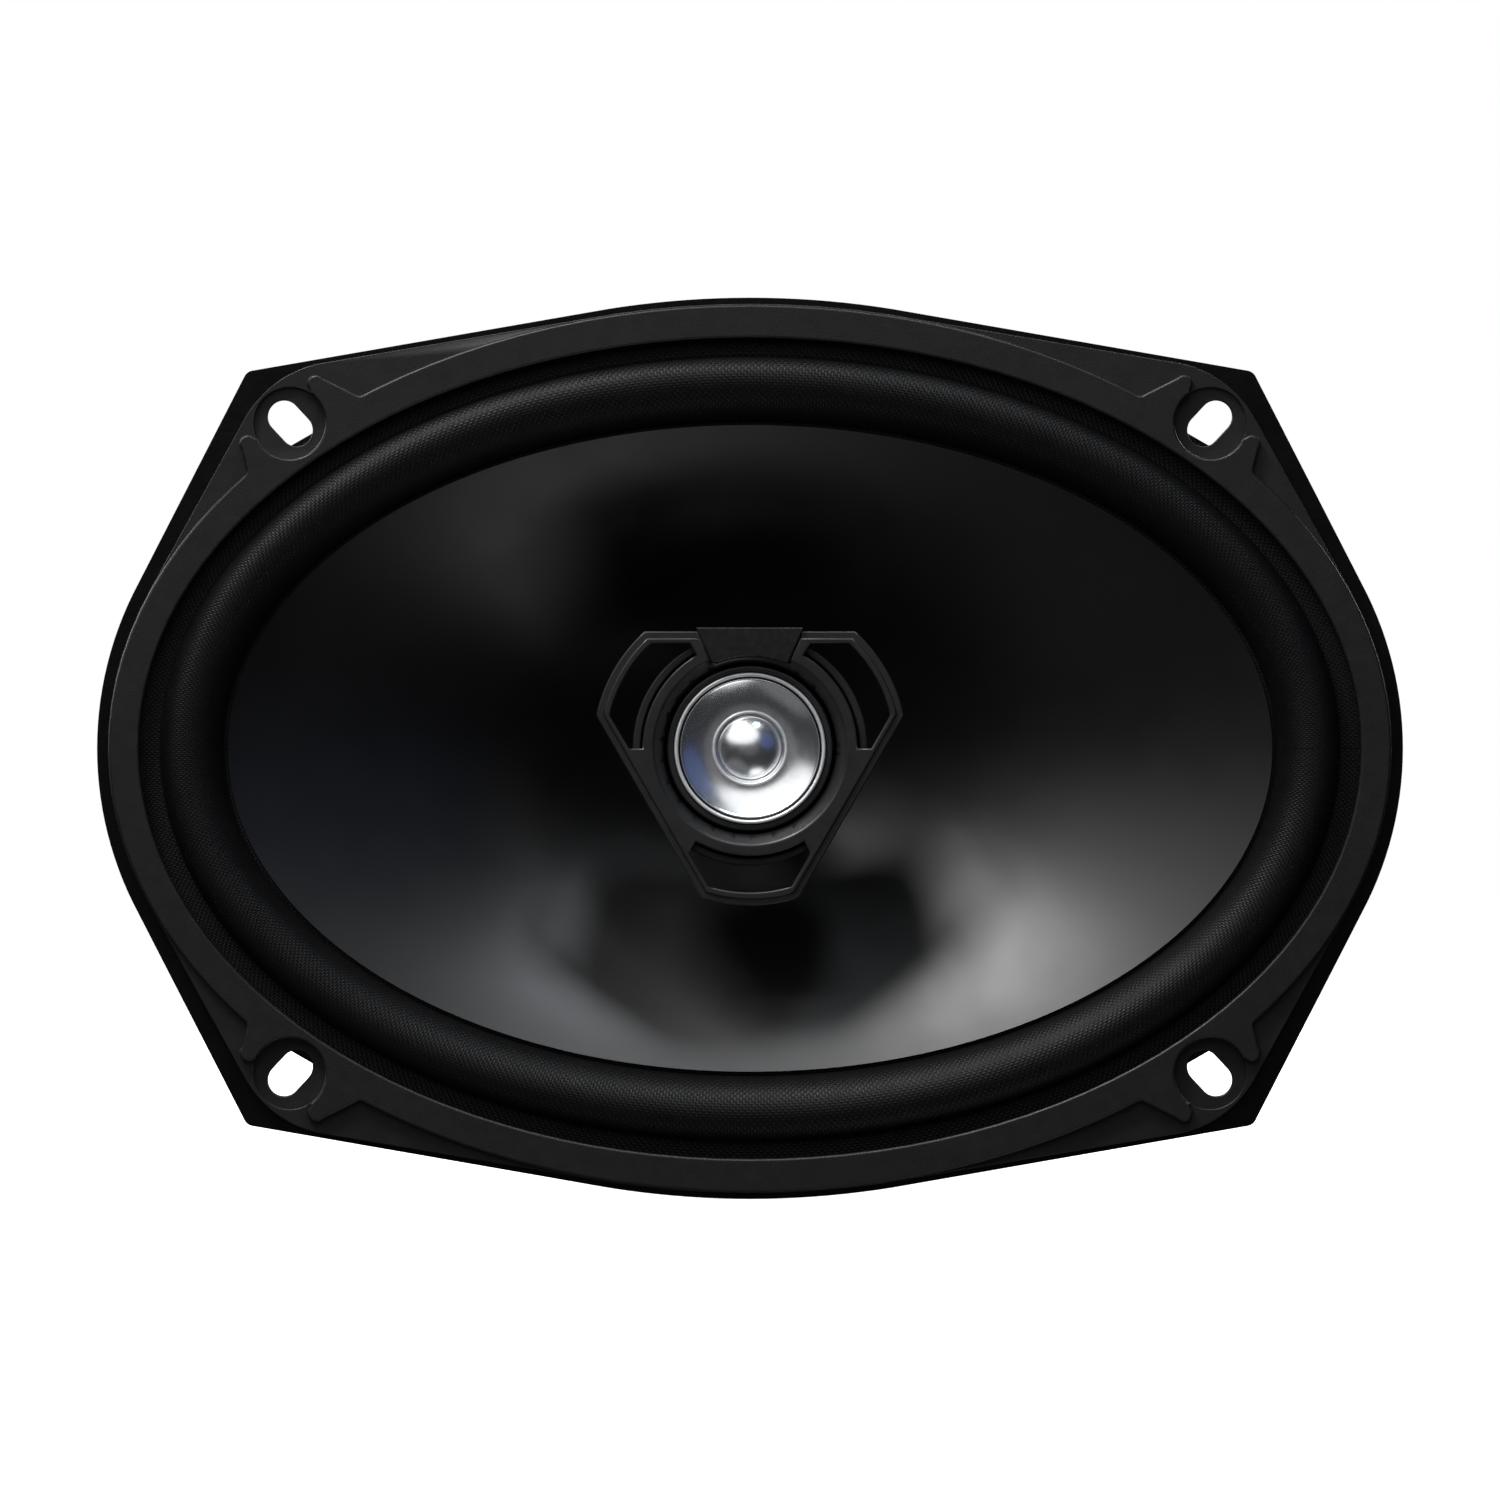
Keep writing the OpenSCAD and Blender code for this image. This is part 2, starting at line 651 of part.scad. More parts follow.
module board_rivet() color(zinc) to_front() on_arm() translate([0, 3, 0]) {
    translate([0, 0, -2.2]) cylinder(r = 1.5, h = board_top + 2.2);
    translate([0, 0, board_top]) cylinder(r = 2.3, h = 0.9);
}

module blade(width, x) on_arm() difference() {
    translate([x - width / 2, blade_from, board_top]) cube([width, blade_to - blade_from, blade_t]);
    translate([x, -4, board_top - 1]) cylinder(r = 1 + running_gap, h = 3);
    translate([x, blade_to - 3.6, board_top - 1]) cylinder(r = 0.7, h = 3);
}

module positive_blade() color("#c8b27a") to_front() blade(positive_w, -blade_x);

module negative_blade() color("#c8b27a") to_front() blade(negative_w, blade_x);

module blade_rivets() color(silver) to_front() on_arm()
    for (x = [-1, 1]) translate([x * blade_x, -4, 0]) {
        translate([0, 0, board_gap - 0.7]) cylinder(r = 1.8, h = 0.7);
        translate([0, 0, board_gap]) cylinder(r = 1, h = board_top - board_gap + blade_t);
        translate([0, 0, board_top + blade_t]) cylinder(r = 1.35, h = 0.6);
    }

module crossover_capacitor() color("#1c2b52") to_front()
    translate([capacitor_x, capacitor_y, capacitor_z]) cylinder(r = capacitor_r, h = capacitor_h);

module tinsel_leads() color("#b4713a") to_front() {
    lead(tinsel_route, tinsel_r);
    mirror([1, 0, 0]) lead(tinsel_route, tinsel_r);
}

module tweeter_leads() color("#8c1d1d") to_front() {
    lead(capacitor_rear_route, lead_r);
    lead(capacitor_front_route, lead_r);
    lead(plain_route, lead_r);
}

basket();
trim_ring();
surround();
cone();
dust_ring();
voice_coil_former();
voice_coil_winding();
spider();
top_plate();
ferrite_magnet();
t_yoke();
basket_rivets();
tweeter_post();
post_nut();
tweeter_housing();
tweeter_bracket();
badge_plate();
tweeter_pot();
tweeter_magnet();
tweeter_pole_plate();
tweeter_frame();
tweeter_bezel_ring();
tweeter_diaphragm();
tweeter_coil_ring();
tweeter_voice_coil();
terminal_board();
board_rivet();
positive_blade();
negative_blade();
blade_rivets();
crossover_capacitor();
tinsel_leads();
tweeter_leads();
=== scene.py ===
"""Looks of an oval coaxial car loudspeaker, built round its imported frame.

Sections and outlines are in millimetres in a turned frame: x to the right, y up and z from the
panel face towards the listener. placed() turns such a point into the frame that the frame
model uses, in metres, where the front faces -Y.
"""
import math

import bmesh
import bpy
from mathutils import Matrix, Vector
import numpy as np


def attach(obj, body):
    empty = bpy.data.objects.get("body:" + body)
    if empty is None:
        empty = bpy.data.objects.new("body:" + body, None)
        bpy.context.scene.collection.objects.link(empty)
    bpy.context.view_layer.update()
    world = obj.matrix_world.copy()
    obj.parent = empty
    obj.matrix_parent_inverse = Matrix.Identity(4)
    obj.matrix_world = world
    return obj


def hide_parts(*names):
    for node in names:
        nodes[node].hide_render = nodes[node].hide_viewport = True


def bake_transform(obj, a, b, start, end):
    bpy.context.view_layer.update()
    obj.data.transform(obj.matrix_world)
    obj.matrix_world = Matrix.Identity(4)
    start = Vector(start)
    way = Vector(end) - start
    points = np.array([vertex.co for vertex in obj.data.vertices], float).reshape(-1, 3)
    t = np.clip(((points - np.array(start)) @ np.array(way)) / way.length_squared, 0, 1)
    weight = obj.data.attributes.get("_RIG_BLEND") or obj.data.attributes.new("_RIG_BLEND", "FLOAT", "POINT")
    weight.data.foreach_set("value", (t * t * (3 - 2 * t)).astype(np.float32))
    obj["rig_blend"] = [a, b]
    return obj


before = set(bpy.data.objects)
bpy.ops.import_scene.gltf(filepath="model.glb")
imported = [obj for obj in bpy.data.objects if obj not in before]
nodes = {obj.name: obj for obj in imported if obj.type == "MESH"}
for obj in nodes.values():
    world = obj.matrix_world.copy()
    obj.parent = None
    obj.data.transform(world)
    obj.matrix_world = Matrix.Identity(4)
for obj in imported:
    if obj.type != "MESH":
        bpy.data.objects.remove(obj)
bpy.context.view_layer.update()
MM = 0.001


def placed(x, y, z):
    return Vector((x, -z, y)) * MM


def add_to_scene(thing):
    bpy.context.scene.collection.objects.link(thing)
    return thing


# ---- camera, lights, floor and world ----

def add_camera():
    data = bpy.data.cameras.new("camera")
    data.sensor_width = 36
    data.lens = 266.6
    camera = add_to_scene(bpy.data.objects.new("camera", data))
    camera.location = (0, -2, -0.0003)
    camera.rotation_euler = (math.radians(90), 0, 0)
    bpy.context.scene.camera = camera


def add_softbox(name, azimuth, off_axis, size, radiance, colour=(1, 1, 1), distance=1.3):
    """A soft oval light facing the speaker. azimuth turns from +x towards up, off_axis leans away
    from the listening axis, and size is its width and height in metres."""
    a, o = math.radians(azimuth), math.radians(off_axis)
    direction = Vector((math.sin(o) * math.cos(a), -math.cos(o), math.sin(o) * math.sin(a)))
    data = bpy.data.lights.new(name, "AREA")
    data.shape = "ELLIPSE"
    data.size, data.size_y = size
    data.energy = radiance * math.pi * math.pi / 4 * size[0] * size[1]
    data.color = colour
    lamp = add_to_scene(bpy.data.objects.new(name, data))
    lamp.location = direction * distance
    lamp.rotation_euler = direction.to_track_quat("Z", "Y").to_euler()
    lamp.visible_camera = False


def add_world():
    world = bpy.data.worlds.new("studio")
    world.use_nodes = True
    tree = world.node_tree
    tree.nodes.clear()
    seen, felt, mix = (tree.nodes.new(k) for k in (
        "ShaderNodeBackground", "ShaderNodeBackground", "ShaderNodeMixShader"))
    path, out = tree.nodes.new("ShaderNodeLightPath"), tree.nodes.new("ShaderNodeOutputWorld")
    seen.inputs["Color"].default_value = (1, 1, 1, 1)
    felt.inputs["Color"].default_value = (0.03, 0.03, 0.032, 1)
    tree.links.new(path.outputs["Is Camera Ray"], mix.inputs[0])
    tree.links.new(felt.outputs[0], mix.inputs[1])
    tree.links.new(seen.outputs[0], mix.inputs[2])
    tree.links.new(mix.outputs[0], out.inputs[0])
    bpy.context.scene.world = world
    bpy.context.scene.view_settings.view_transform = "Standard"


# ---- finishes ----

class Finish:
    """A material on a Principled shader, with the pattern nodes that feed it."""

    def __init__(self, name, colour, rough, **constants):
        self.material = bpy.data.materials.new(name)
        self.material.use_nodes = True
        self.tree = self.material.node_tree
        self.shader = self.tree.nodes["Principled BSDF"]
        self.coords = self.add("ShaderNodeTexCoord")
        self.colour = colour
        self.shader.inputs["Base Color"].default_value = (*colour, 1)
        self.shader.inputs["Roughness"].default_value = rough
        for label, value in constants.items():
            self.shader.inputs[label.replace("_", " ")].default_value = value
        self.normal = None

    def add(self, kind, settings=None, **inputs):
        node = self.tree.nodes.new(kind)
        for key, value in (settings or {}).items():
            setattr(node, key, value)
        for label, value in inputs.items():
            self.feed(value, node.inputs[label.replace("_", " ")])
        return node

    def feed(self, source, socket):
        if isinstance(source, bpy.types.NodeSocket):
            self.tree.links.new(source, socket)
        else:
            socket.default_value = source

    def noise(self, size, detail=3, source="Object"):
        """Soft noise whose blotches are about this many millimetres wide."""
        return self.add("ShaderNodeTexNoise", Vector=self.coords.outputs[source],
            Scale=1 / (size * MM), Detail=detail).outputs["Fac"]

    def cells(self, size, source="Object"):
        return self.add("ShaderNodeTexVoronoi", Vector=self.coords.outputs[source],
            Scale=1 / (size * MM)).outputs["Distance"]

    def rings(self, pitch, source="Object", axis="Y", kind="RINGS"):
        """Ripples this many millimetres apart: rings round an axis, or straight bands."""
        settings = {"wave_type": kind, kind.lower() + "_direction": axis}
        return self.add("ShaderNodeTexWave", settings, Vector=self.coords.outputs[source],
            Scale=math.pi / (10 * pitch * MM)).outputs["Fac"]

    def maths(self, operation, a, b):
        node = self.add("ShaderNodeMath", {"operation": operation})
        self.feed(a, node.inputs[0])
        self.feed(b, node.inputs[1])
        return node.outputs[0]

    def between(self, factor, low, high, start=0.3, end=0.7):
        """The factor, taken from start..end and spread over low..high."""
        return self.add("ShaderNodeMapRange", Value=factor, From_Min=start, From_Max=end,
            To_Min=low, To_Max=high).outputs[0]

    def tint(self, factor, low, high, start=0.3, end=0.7):
        """The base colour, scaled by low to high as the factor goes from start to end."""
        ramp = self.add("ShaderNodeValToRGB")
        self.feed(factor, ramp.inputs[0])
        for stop, at, scale in zip(ramp.color_ramp.elements, (start, end), (low, high)):
            stop.position = at
            scales = scale if isinstance(scale, tuple) else (scale,) * 3
            stop.color = (*(min(1, c * s) for c, s in zip(self.colour, scales)), 1)
        self.feed(ramp.outputs[0], self.shader.inputs["Base Color"])
        return self

    def rough(self, factor, low, high, start=0.3, end=0.7):
        self.feed(self.between(factor, low, high, start, end), self.shader.inputs["Roughness"])
        return self

    def bump(self, height, depth, strength=1.0):
        """Relief this many millimetres deep, on top of any that came before."""
        node = self.add("ShaderNodeBump", Height=height, Strength=strength, Distance=depth * MM)
        if self.normal:
            self.tree.links.new(self.normal, node.inputs["Normal"])
        self.normal = node.outputs[0]
        self.tree.links.new(self.normal, self.shader.inputs["Normal"])
        return self

    def weave(self, pitch):
        """Plain weave on the piece's own flat map: threads pass over and under by turns."""
        check = self.add("ShaderNodeTexChecker", Vector=self.coords.outputs["UV"],
            Scale=1 / (pitch * MM), Color1=(1, 1, 1, 1), Color2=(0, 0, 0, 1))
        across = self.rings(pitch, "UV", "X", "BANDS")
        along = self.rings(pitch, "UV", "Y", "BANDS")
        pick = self.add("ShaderNodeMix", Factor=check.outputs["Fac"], A=across, B=along)
        return pick.outputs[0]


def make_finishes():
    """Every finish of the speaker, by name."""
    made = {}

    steel = Finish("basket_powder_coat", (0.002, 0.002, 0.0022), 0.26, Specular_IOR_Level=0.18)
    steel.tint(steel.noise(14), 0.8, 1.25).rough(steel.noise(5), 0.23, 0.3)
    steel.bump(steel.noise(1.1, 2), 0.03).bump(steel.noise(0.25, 2), 0.006)
    made["basket_steel"] = steel

    trim = Finish("trim_grained_plastic", (0.0062, 0.0062, 0.0065), 0.42, Specular_IOR_Level=0.38)
    trim.tint(trim.noise(22), 0.9, 1.12).rough(trim.noise(3), 0.38, 0.46)
    trim.bump(trim.cells(0.34), 0.012).bump(trim.noise(0.12, 2), 0.004)
    made["trim_plastic"] = trim

    roll = Finish("surround_treated_cloth", (0.003, 0.003, 0.0032), 0.44,
        Specular_IOR_Level=0.15)
    threads = roll.weave(0.5)
    roll.tint(threads, 0.65, 1.35, 0.1, 0.9).rough(roll.noise(4), 0.4, 0.48)
    roll.bump(threads, 0.05, 0.8)
    made["surround_cloth"] = roll

    cone = Finish("cone_satin_film", (0.002, 0.002, 0.0022), 0.38)
    cone.tint(cone.noise(30), 0.8, 1.2).rough(cone.noise(9, 4), 0.36, 0.4)
    cone.bump(cone.noise(0.5, 3), 0.004).bump(cone.noise(6, 2), 0.01)
    made["cone_film"] = cone

    dust = Finish("dust_ring_cloth", (0.014, 0.014, 0.015), 0.85, Sheen_Weight=0.3,
        Sheen_Roughness=0.5)
    threads = dust.weave(0.4)
    dust.tint(threads, 0.6, 1.4, 0.1, 0.9).bump(threads, 0.06)
    made["dust_cloth"] = dust

    former = Finish("former_foil", (0.55, 0.45, 0.28), 0.35, Metallic=0.6)
    former.tint(former.noise(2), 0.8, 1.15).bump(former.noise(0.6), 0.01)
    made["former_foil"] = former

    enamel = Finish("enamelled_copper", (0.62, 0.22, 0.075), 0.25, Metallic=0.9, Coat_Weight=0.5,
        Coat_Roughness=0.15)
    enamel.tint(enamel.noise(1.5), 0.75, 1.15).rough(enamel.noise(0.8), 0.2, 0.36)
    made["coil_copper"] = enamel

    spider = Finish("spider_resin_cloth", (0.52, 0.33, 0.10), 0.7, Sheen_Weight=0.1)
    threads = spider.weave(0.7)
    spider.tint(threads, 0.55, 1.25, 0.05, 0.95).rough(spider.noise(6), 0.6, 0.8)
    spider.bump(threads, 0.09)
    made["spider_cloth"] = spider

    zinc = Finish("zinc_turned_steel", (0.52, 0.53, 0.55), 0.32, Metallic=1.0)
    zinc.tint(zinc.noise(14, 2), (0.93, 0.94, 0.96), (1.05, 1.05, 1.02))
    zinc.rough(zinc.noise(5, 2), 0.3, 0.38).bump(zinc.rings(0.45), 0.004)
    zinc.bump(zinc.noise(0.3), 0.003)
    made["zinc_steel"] = zinc

    ferrite = Finish("sintered_ferrite", (0.020, 0.0195, 0.0195), 0.62)
    ferrite.tint(ferrite.noise(0.9, 5), 0.6, 1.6).rough(ferrite.noise(1.6), 0.5, 0.74)
    ferrite.bump(ferrite.noise(0.35, 4), 0.02).bump(ferrite.cells(2.6), 0.012)
    made["ferrite"] = ferrite

    post = Finish("post_glass_filled_nylon", (0.018, 0.018, 0.018), 0.52)
    post.tint(post.noise(0.8, 4), 0.8, 1.5).bump(post.noise(0.2), 0.01)
    made["post_plastic"] = post

    bracket = Finish("bracket_satin_plastic", (0.010, 0.010, 0.0105), 0.36)
    bracket.tint(bracket.noise(11), 0.9, 1.12).rough(bracket.noise(2), 0.32, 0.4)
    bracket.bump(bracket.cells(0.22), 0.006)
    made["bracket_plastic"] = bracket

    badge = Finish("badge_gloss_plastic", (0.008, 0.008, 0.0085), 0.3)
    badge.tint(badge.noise(5), 0.9, 1.1).rough(badge.noise(1.2), 0.2, 0.3)
    badge.bump(badge.noise(0.4), 0.002)
    made["badge_plastic"] = badge

    nickel = Finish("nickel_plate", (0.66, 0.63, 0.58), 0.2, Metallic=1.0)
    nickel.tint(nickel.noise(3), 0.88, 1.08).rough(nickel.noise(0.9), 0.14, 0.28)
    nickel.bump(nickel.noise(0.25), 0.003)
    made["nickel_plate"] = nickel

    bright = Finish("bright_satin_ring", (0.82, 0.83, 0.84), 0.45, Metallic=0.75)
    bright.tint(bright.noise(2), 0.93, 1.04).rough(bright.noise(0.5), 0.4, 0.5)
    made["bright_ring"] = bright

    film = Finish("metallised_film", (0.88, 0.9, 0.92), 0.24, Metallic=1.0)
    film.tint(film.noise(4), 0.94, 1.05).rough(film.noise(1.5), 0.22, 0.26)
    film.bump(film.noise(3, 2), 0.001)
    made["silver_film"] = film

    board = Finish("pressed_fibre_board", (0.055, 0.036, 0.022), 0.66)
    board.tint(board.noise(0.5, 5), 0.6, 1.5).bump(board.noise(0.3, 4), 0.02)
    made["fibre_board"] = board

    tinned = Finish("tinned_brass", (0.74, 0.67, 0.50), 0.28, Metallic=1.0)
    tinned.tint(tinned.noise(2.5, 4), (0.85, 0.85, 0.9), (1.05, 1.03, 0.95))
    tinned.rough(tinned.noise(0.8), 0.2, 0.4).bump(tinned.rings(0.2, "Object", "X", "BANDS"), 0.003)
    made["tinned_brass"] = tinned

    sleeve = Finish("capacitor_sleeve", (0.016, 0.035, 0.16), 0.3, Coat_Weight=0.4,
        Coat_Roughness=0.2)
    sleeve.tint(sleeve.noise(3), 0.85, 1.15).bump(sleeve.noise(1.4), 0.02)
    made["capacitor_sleeve"] = sleeve

    tinsel = Finish("tinsel_braid", (0.66, 0.33, 0.16), 0.34, Metallic=0.95)
    tinsel.tint(tinsel.noise(0.3), 0.6, 1.2).bump(tinsel.rings(0.25, "UV", "Y", "BANDS"), 0.03)
    made["tinsel_copper"] = tinsel

    jacket = Finish("lead_insulation", (0.30, 0.014, 0.012), 0.42)
    jacket.tint(jacket.noise(2), 0.85, 1.15).bump(jacket.noise(0.8), 0.01)
    made["lead_insulation"] = jacket

    solder = Finish("solder_joint", (0.60, 0.61, 0.63), 0.3, Metallic=1.0)
    solder.tint(solder.noise(0.7), 0.75, 1.1).bump(solder.noise(0.6), 0.03)
    made["solder"] = solder

    glue = Finish("black_cement", (0.006, 0.006, 0.006), 0.3)
    glue.tint(glue.noise(1.5), 0.8, 1.3).bump(glue.noise(1.2), 0.05)
    made["glue"] = glue

    melt = Finish("hot_melt", (0.62, 0.58, 0.46), 0.38, Subsurface_Weight=0.3)
    melt.tint(melt.noise(2), 0.85, 1.1).bump(melt.noise(1.5), 0.08)
    made["hot_melt"] = melt
    return {name: finish.material for name, finish in made.items()}


def add_floor():
    mesh = bpy.data.meshes.new("floor")
    shape = bmesh.new()
    bmesh.ops.create_circle(shape, cap_ends=True, radius=4, segments=96)
    bmesh.ops.translate(shape, verts=shape.verts, vec=(0, 0, -81.1 * MM))
    shape.to_mesh(mesh)
    paper = Finish("pale_paper_floor", (0.78, 0.78, 0.78), 0.9)
    paper.tint(paper.noise(60, 2), 0.97, 1.03).bump(paper.noise(2), 0.02)
    far = paper.add("ShaderNodeTexGradient", {"gradient_type": "SPHERICAL"},
        Vector=paper.coords.outputs["Object"]).outputs["Fac"]
    glow = paper.between(far, 1.0, 0.9, 0.0, 0.6)
    paper.feed(glow, paper.shader.inputs["Emission Strength"])
    paper.shader.inputs["Emission Color"].default_value = (1, 1, 1, 1)
    mesh.materials.append(paper.material)
    floor = add_to_scene(bpy.data.objects.new("floor", mesh))
    floor.visible_glossy = floor.visible_diffuse = floor.visible_shadow = False


# ---- node trees that make the repeated and the turned shapes ----

class Tree:
    """A Geometry Nodes tree with named inputs that ends in Realize Instances and Set Material."""

    def __init__(self, name, **inputs):
        self.group = bpy.data.node_groups.new(name, "GeometryNodeTree")
        sockets = self.group.interface
        sockets.new_socket("Geometry", in_out="INPUT", socket_type="NodeSocketGeometry")
        for label, kind in {**inputs, "Finish": "Material"}.items():
            sockets.new_socket(label.replace("_", " "), in_out="INPUT",
                socket_type="NodeSocket" + kind)
        sockets.new_socket("Geometry", in_out="OUTPUT", socket_type="NodeSocketGeometry")
        self.given = self.group.nodes.new("NodeGroupInput").outputs

    def add(self, kind, settings=None, out=0, **inputs):
        family = "" if kind.startswith("ShaderNode") else "GeometryNode"
        node = self.group.nodes.new(family + kind)
        for key, value in (settings or {}).items():
            setattr(node, key, value)
        for label, value in inputs.items():
            self.feed(value, node.inputs[int(label[1:])] if label[1:].isdigit()
                else node.inputs[label.replace("_", " ")])
        return node.outputs[out]

    def feed(self, source, socket):
        if isinstance(source, bpy.types.NodeSocket):
            self.group.links.new(source, socket)
        else:
            socket.default_value = source

    def maths(self, operation, a, b=0.0):
        return self.add("ShaderNodeMath", {"operation": operation}, i0=a, i1=b)

    def vector(self, operation, a, b):
        return self.add("ShaderNodeVectorMath", {"operation": operation}, i0=a, i1=b)

    def scaled(self, a, scale):
        return self.add("ShaderNodeVectorMath", {"operation": "SCALE"}, i0=a, Scale=scale)

    def split(self, vector):
        node = self.group.nodes.new("ShaderNodeSeparateXYZ")
        self.feed(vector, node.inputs[0])
        return node.outputs

    def joined(self, x, y, z):
        return self.add("ShaderNodeCombineXYZ", X=x, Y=y, Z=z)

    def end(self, geometry):
        real = self.add("RealizeInstances", Geometry=geometry)
        done = self.add("SetMaterial", Geometry=real, Material=self.given["Finish"])
        self.feed(done, self.group.nodes.new("NodeGroupOutput").inputs[0])
        return self


def build(name, base, tree, finish, **values):
    """Runs the tree on a base mesh and gives the result as an object with a plain mesh."""
    piece = add_to_scene(bpy.data.objects.new(name, base))
    modifier = piece.modifiers.new("build", "NODES")
    modifier.node_group = tree.group
    names = {s.name: s.identifier for s in tree.group.interface.items_tree
        if s.item_type == "SOCKET" and s.in_out == "INPUT"}
    for label, value in {**values, "Finish": finish}.items():
        modifier[names[label.replace("_", " ")]] = value
    return made_plain(piece)


def made_plain(piece, sharp=40):
    bpy.context.view_layer.update()
    seen = piece.evaluated_get(bpy.context.evaluated_depsgraph_get())
    mesh = bpy.data.meshes.new_from_object(seen)
    piece.modifiers.clear()
    piece.data = mesh
    mesh.name = piece.name
    if "custom_normal" not in mesh.attributes:
        mesh.shade_smooth()
        mesh.set_sharp_from_angle(angle=math.radians(sharp))
    return piece


def turning_tree():
    """A section carried round an oval. Each section point is (blend, out, height): blend runs
    from the near oval to the far one and out widens the result all round."""
    t = Tree("turned_section", Near_Oval="Vector", Far_Oval="Vector", Sides="Int",
        Way_Round="Float")
    count = t.add("AttributeDomainSize", Geometry=t.given["Geometry"])
    columns = t.maths("ADD", t.given["Sides"], 1)
    grid = t.add("MeshGrid", Size_X=1, Size_Y=1, Vertices_X=count, Vertices_Y=columns)
    along, turn, _ = t.split(t.add("InputPosition"))
    row = t.maths("ROUND", t.maths("MULTIPLY", t.maths("ADD", along, 0.5),
        t.maths("SUBTRACT", count, 1)))
    turn = t.maths("ADD", turn, 0.5)
    angle = t.maths("MULTIPLY", turn, 2 * math.pi)
    at = t.add("SampleIndex", {"data_type": "FLOAT_VECTOR"}, Geometry=t.given["Geometry"],
        Value=t.add("InputPosition"), Index=row)
    run = t.add("SampleIndex", Geometry=t.given["Geometry"],
        Value=t.add("InputNamedAttribute", Name="run"), Index=row)
    blend, out, height = t.split(at)
    half = t.vector("ADD", t.given["Near Oval"],
        t.scaled(t.vector("SUBTRACT", t.given["Far Oval"], t.given["Near Oval"]), blend))
    wide, high, _ = t.split(half)
    x = t.maths("MULTIPLY", t.maths("ADD", wide, out), t.maths("COSINE", angle))
    z = t.maths("MULTIPLY", t.maths("ADD", high, out), t.maths("SINE", angle))
    flat = t.joined(run, t.maths("MULTIPLY", turn, t.given["Way Round"]), 0.0)
    mapped = t.add("StoreNamedAttribute", {"data_type": "FLOAT2", "domain": "CORNER"},
        Geometry=grid, Name="UVMap", Value=flat)
    marked = t.add("StoreNamedAttribute", Geometry=mapped, Name="reach", Value=blend)
    moved = t.add("SetPosition", Geometry=marked,
        Position=t.joined(x, t.maths("MULTIPLY", height, -1.0), z))
    return t.end(t.add("MergeByDistance", Geometry=moved, Distance=1e-6))


def ring_tree():
    """Copies of one item, evenly spaced on a circle round the listening axis."""
    t = Tree("ring_of_items", Count="Int", Circle_Radius="Float", First_Angle="Float")
    points = t.add("MeshCircle", Vertices=t.given["Count"], Radius=t.given["Circle Radius"])
    stood = t.add("Transform", Geometry=points,
        Rotation=t.joined(math.pi / 2, t.given["First Angle"], 0.0))
    return t.end(t.add("InstanceOnPoints", Points=stood, Instance=t.given["Geometry"]))


def winding_tree():
    """Turns of wire laid side by side round the listening axis."""
    t = Tree("wire_winding", Turns="Int", Coil_Radius="Float", Wire_Radius="Float", Back="Float",
        Pitch="Float")
    starts = t.add("MeshLine", Count=t.given["Turns"],
        Start_Location=t.joined(0.0, t.given["Back"], 0.0),
        Offset=t.joined(0.0, t.maths("MULTIPLY", t.given["Pitch"], -1.0), 0.0))
    turn = t.add("Transform", Geometry=t.add("CurvePrimitiveCircle", Resolution=72,
        Radius=t.given["Coil Radius"]), Rotation=(math.pi / 2, 0, 0))
    laid = t.add("RealizeInstances",
        Geometry=t.add("InstanceOnPoints", Points=starts, Instance=turn))
    wire = t.add("CurvePrimitiveCircle", Resolution=6, Radius=t.given["Wire Radius"])
    return t.end(t.add("CurveToMesh", Curve=laid, Profile_Curve=wire))


def lead_tree():
    """Round strands that wind about each other along a route."""
    t = Tree("stranded_lead", Strands="Int", Strand_Radius="Float", Lay_Radius="Float",
        Twists="Float")
    route = t.add("MeshToCurve", Mesh=t.given["Geometry"])
    copies = t.group.nodes.new("GeometryNodeDuplicateElements")
    copies.domain = "SPLINE"
    t.feed(route, copies.inputs["Geometry"])
    t.feed(t.given["Strands"], copies.inputs["Amount"])
    share = t.add("SplineParameter")
    phase = t.maths("DIVIDE", copies.outputs["Duplicate Index"], t.given["Strands"])
    turns = t.maths("ADD", phase, t.maths("MULTIPLY", share, t.given["Twists"]))
    angle = t.maths("MULTIPLY", turns, 2 * math.pi)
    normal = t.add("InputNormal")
    side = t.vector("CROSS_PRODUCT", t.add("InputTangent"), normal)
    offset = t.vector("ADD", t.scaled(normal, t.maths("COSINE", angle)),
        t.scaled(side, t.maths("SINE", angle)))
    marked = t.add("StoreNamedAttribute", Geometry=copies.outputs["Geometry"], Name="reach",
        Value=share)
    moved = t.add("SetPosition", Geometry=marked, Offset=t.scaled(offset, t.given["Lay Radius"]))
    wire = t.add("CurvePrimitiveCircle", Resolution=10, Radius=t.given["Strand Radius"])
    return t.end(t.add("CurveToMesh", Curve=moved, Profile_Curve=wire, Fill_Caps=True))


finishes = make_finishes()
turning, ring_of, winding, stranded = turning_tree(), ring_tree(), winding_tree(), lead_tree()


# ---- shared ways of making a piece ----

def fit(piece, body, node):
    """The piece stands for a node of the frame and rides on its body."""
    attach(piece, body)
    if node:
        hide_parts(*([node] if isinstance(node, str) else node))
    return piece


def section_mesh(points, scale):
    """The section as loose points, with how far along the section each of them lies."""
    mesh = bpy.data.meshes.new("section")
    mesh.from_pydata(points, [(i, i + 1) for i in range(len(points) - 1)], [])
    run, so_far = mesh.attributes.new("run", "FLOAT", "POINT"), 0.0
    for i, p in enumerate(points):
        if i:
            q = points[i - 1]
            so_far += math.hypot((p[0] - q[0]) * scale + p[1] - q[1], p[2] - q[2])
        run.data[i].value = so_far
    return mesh


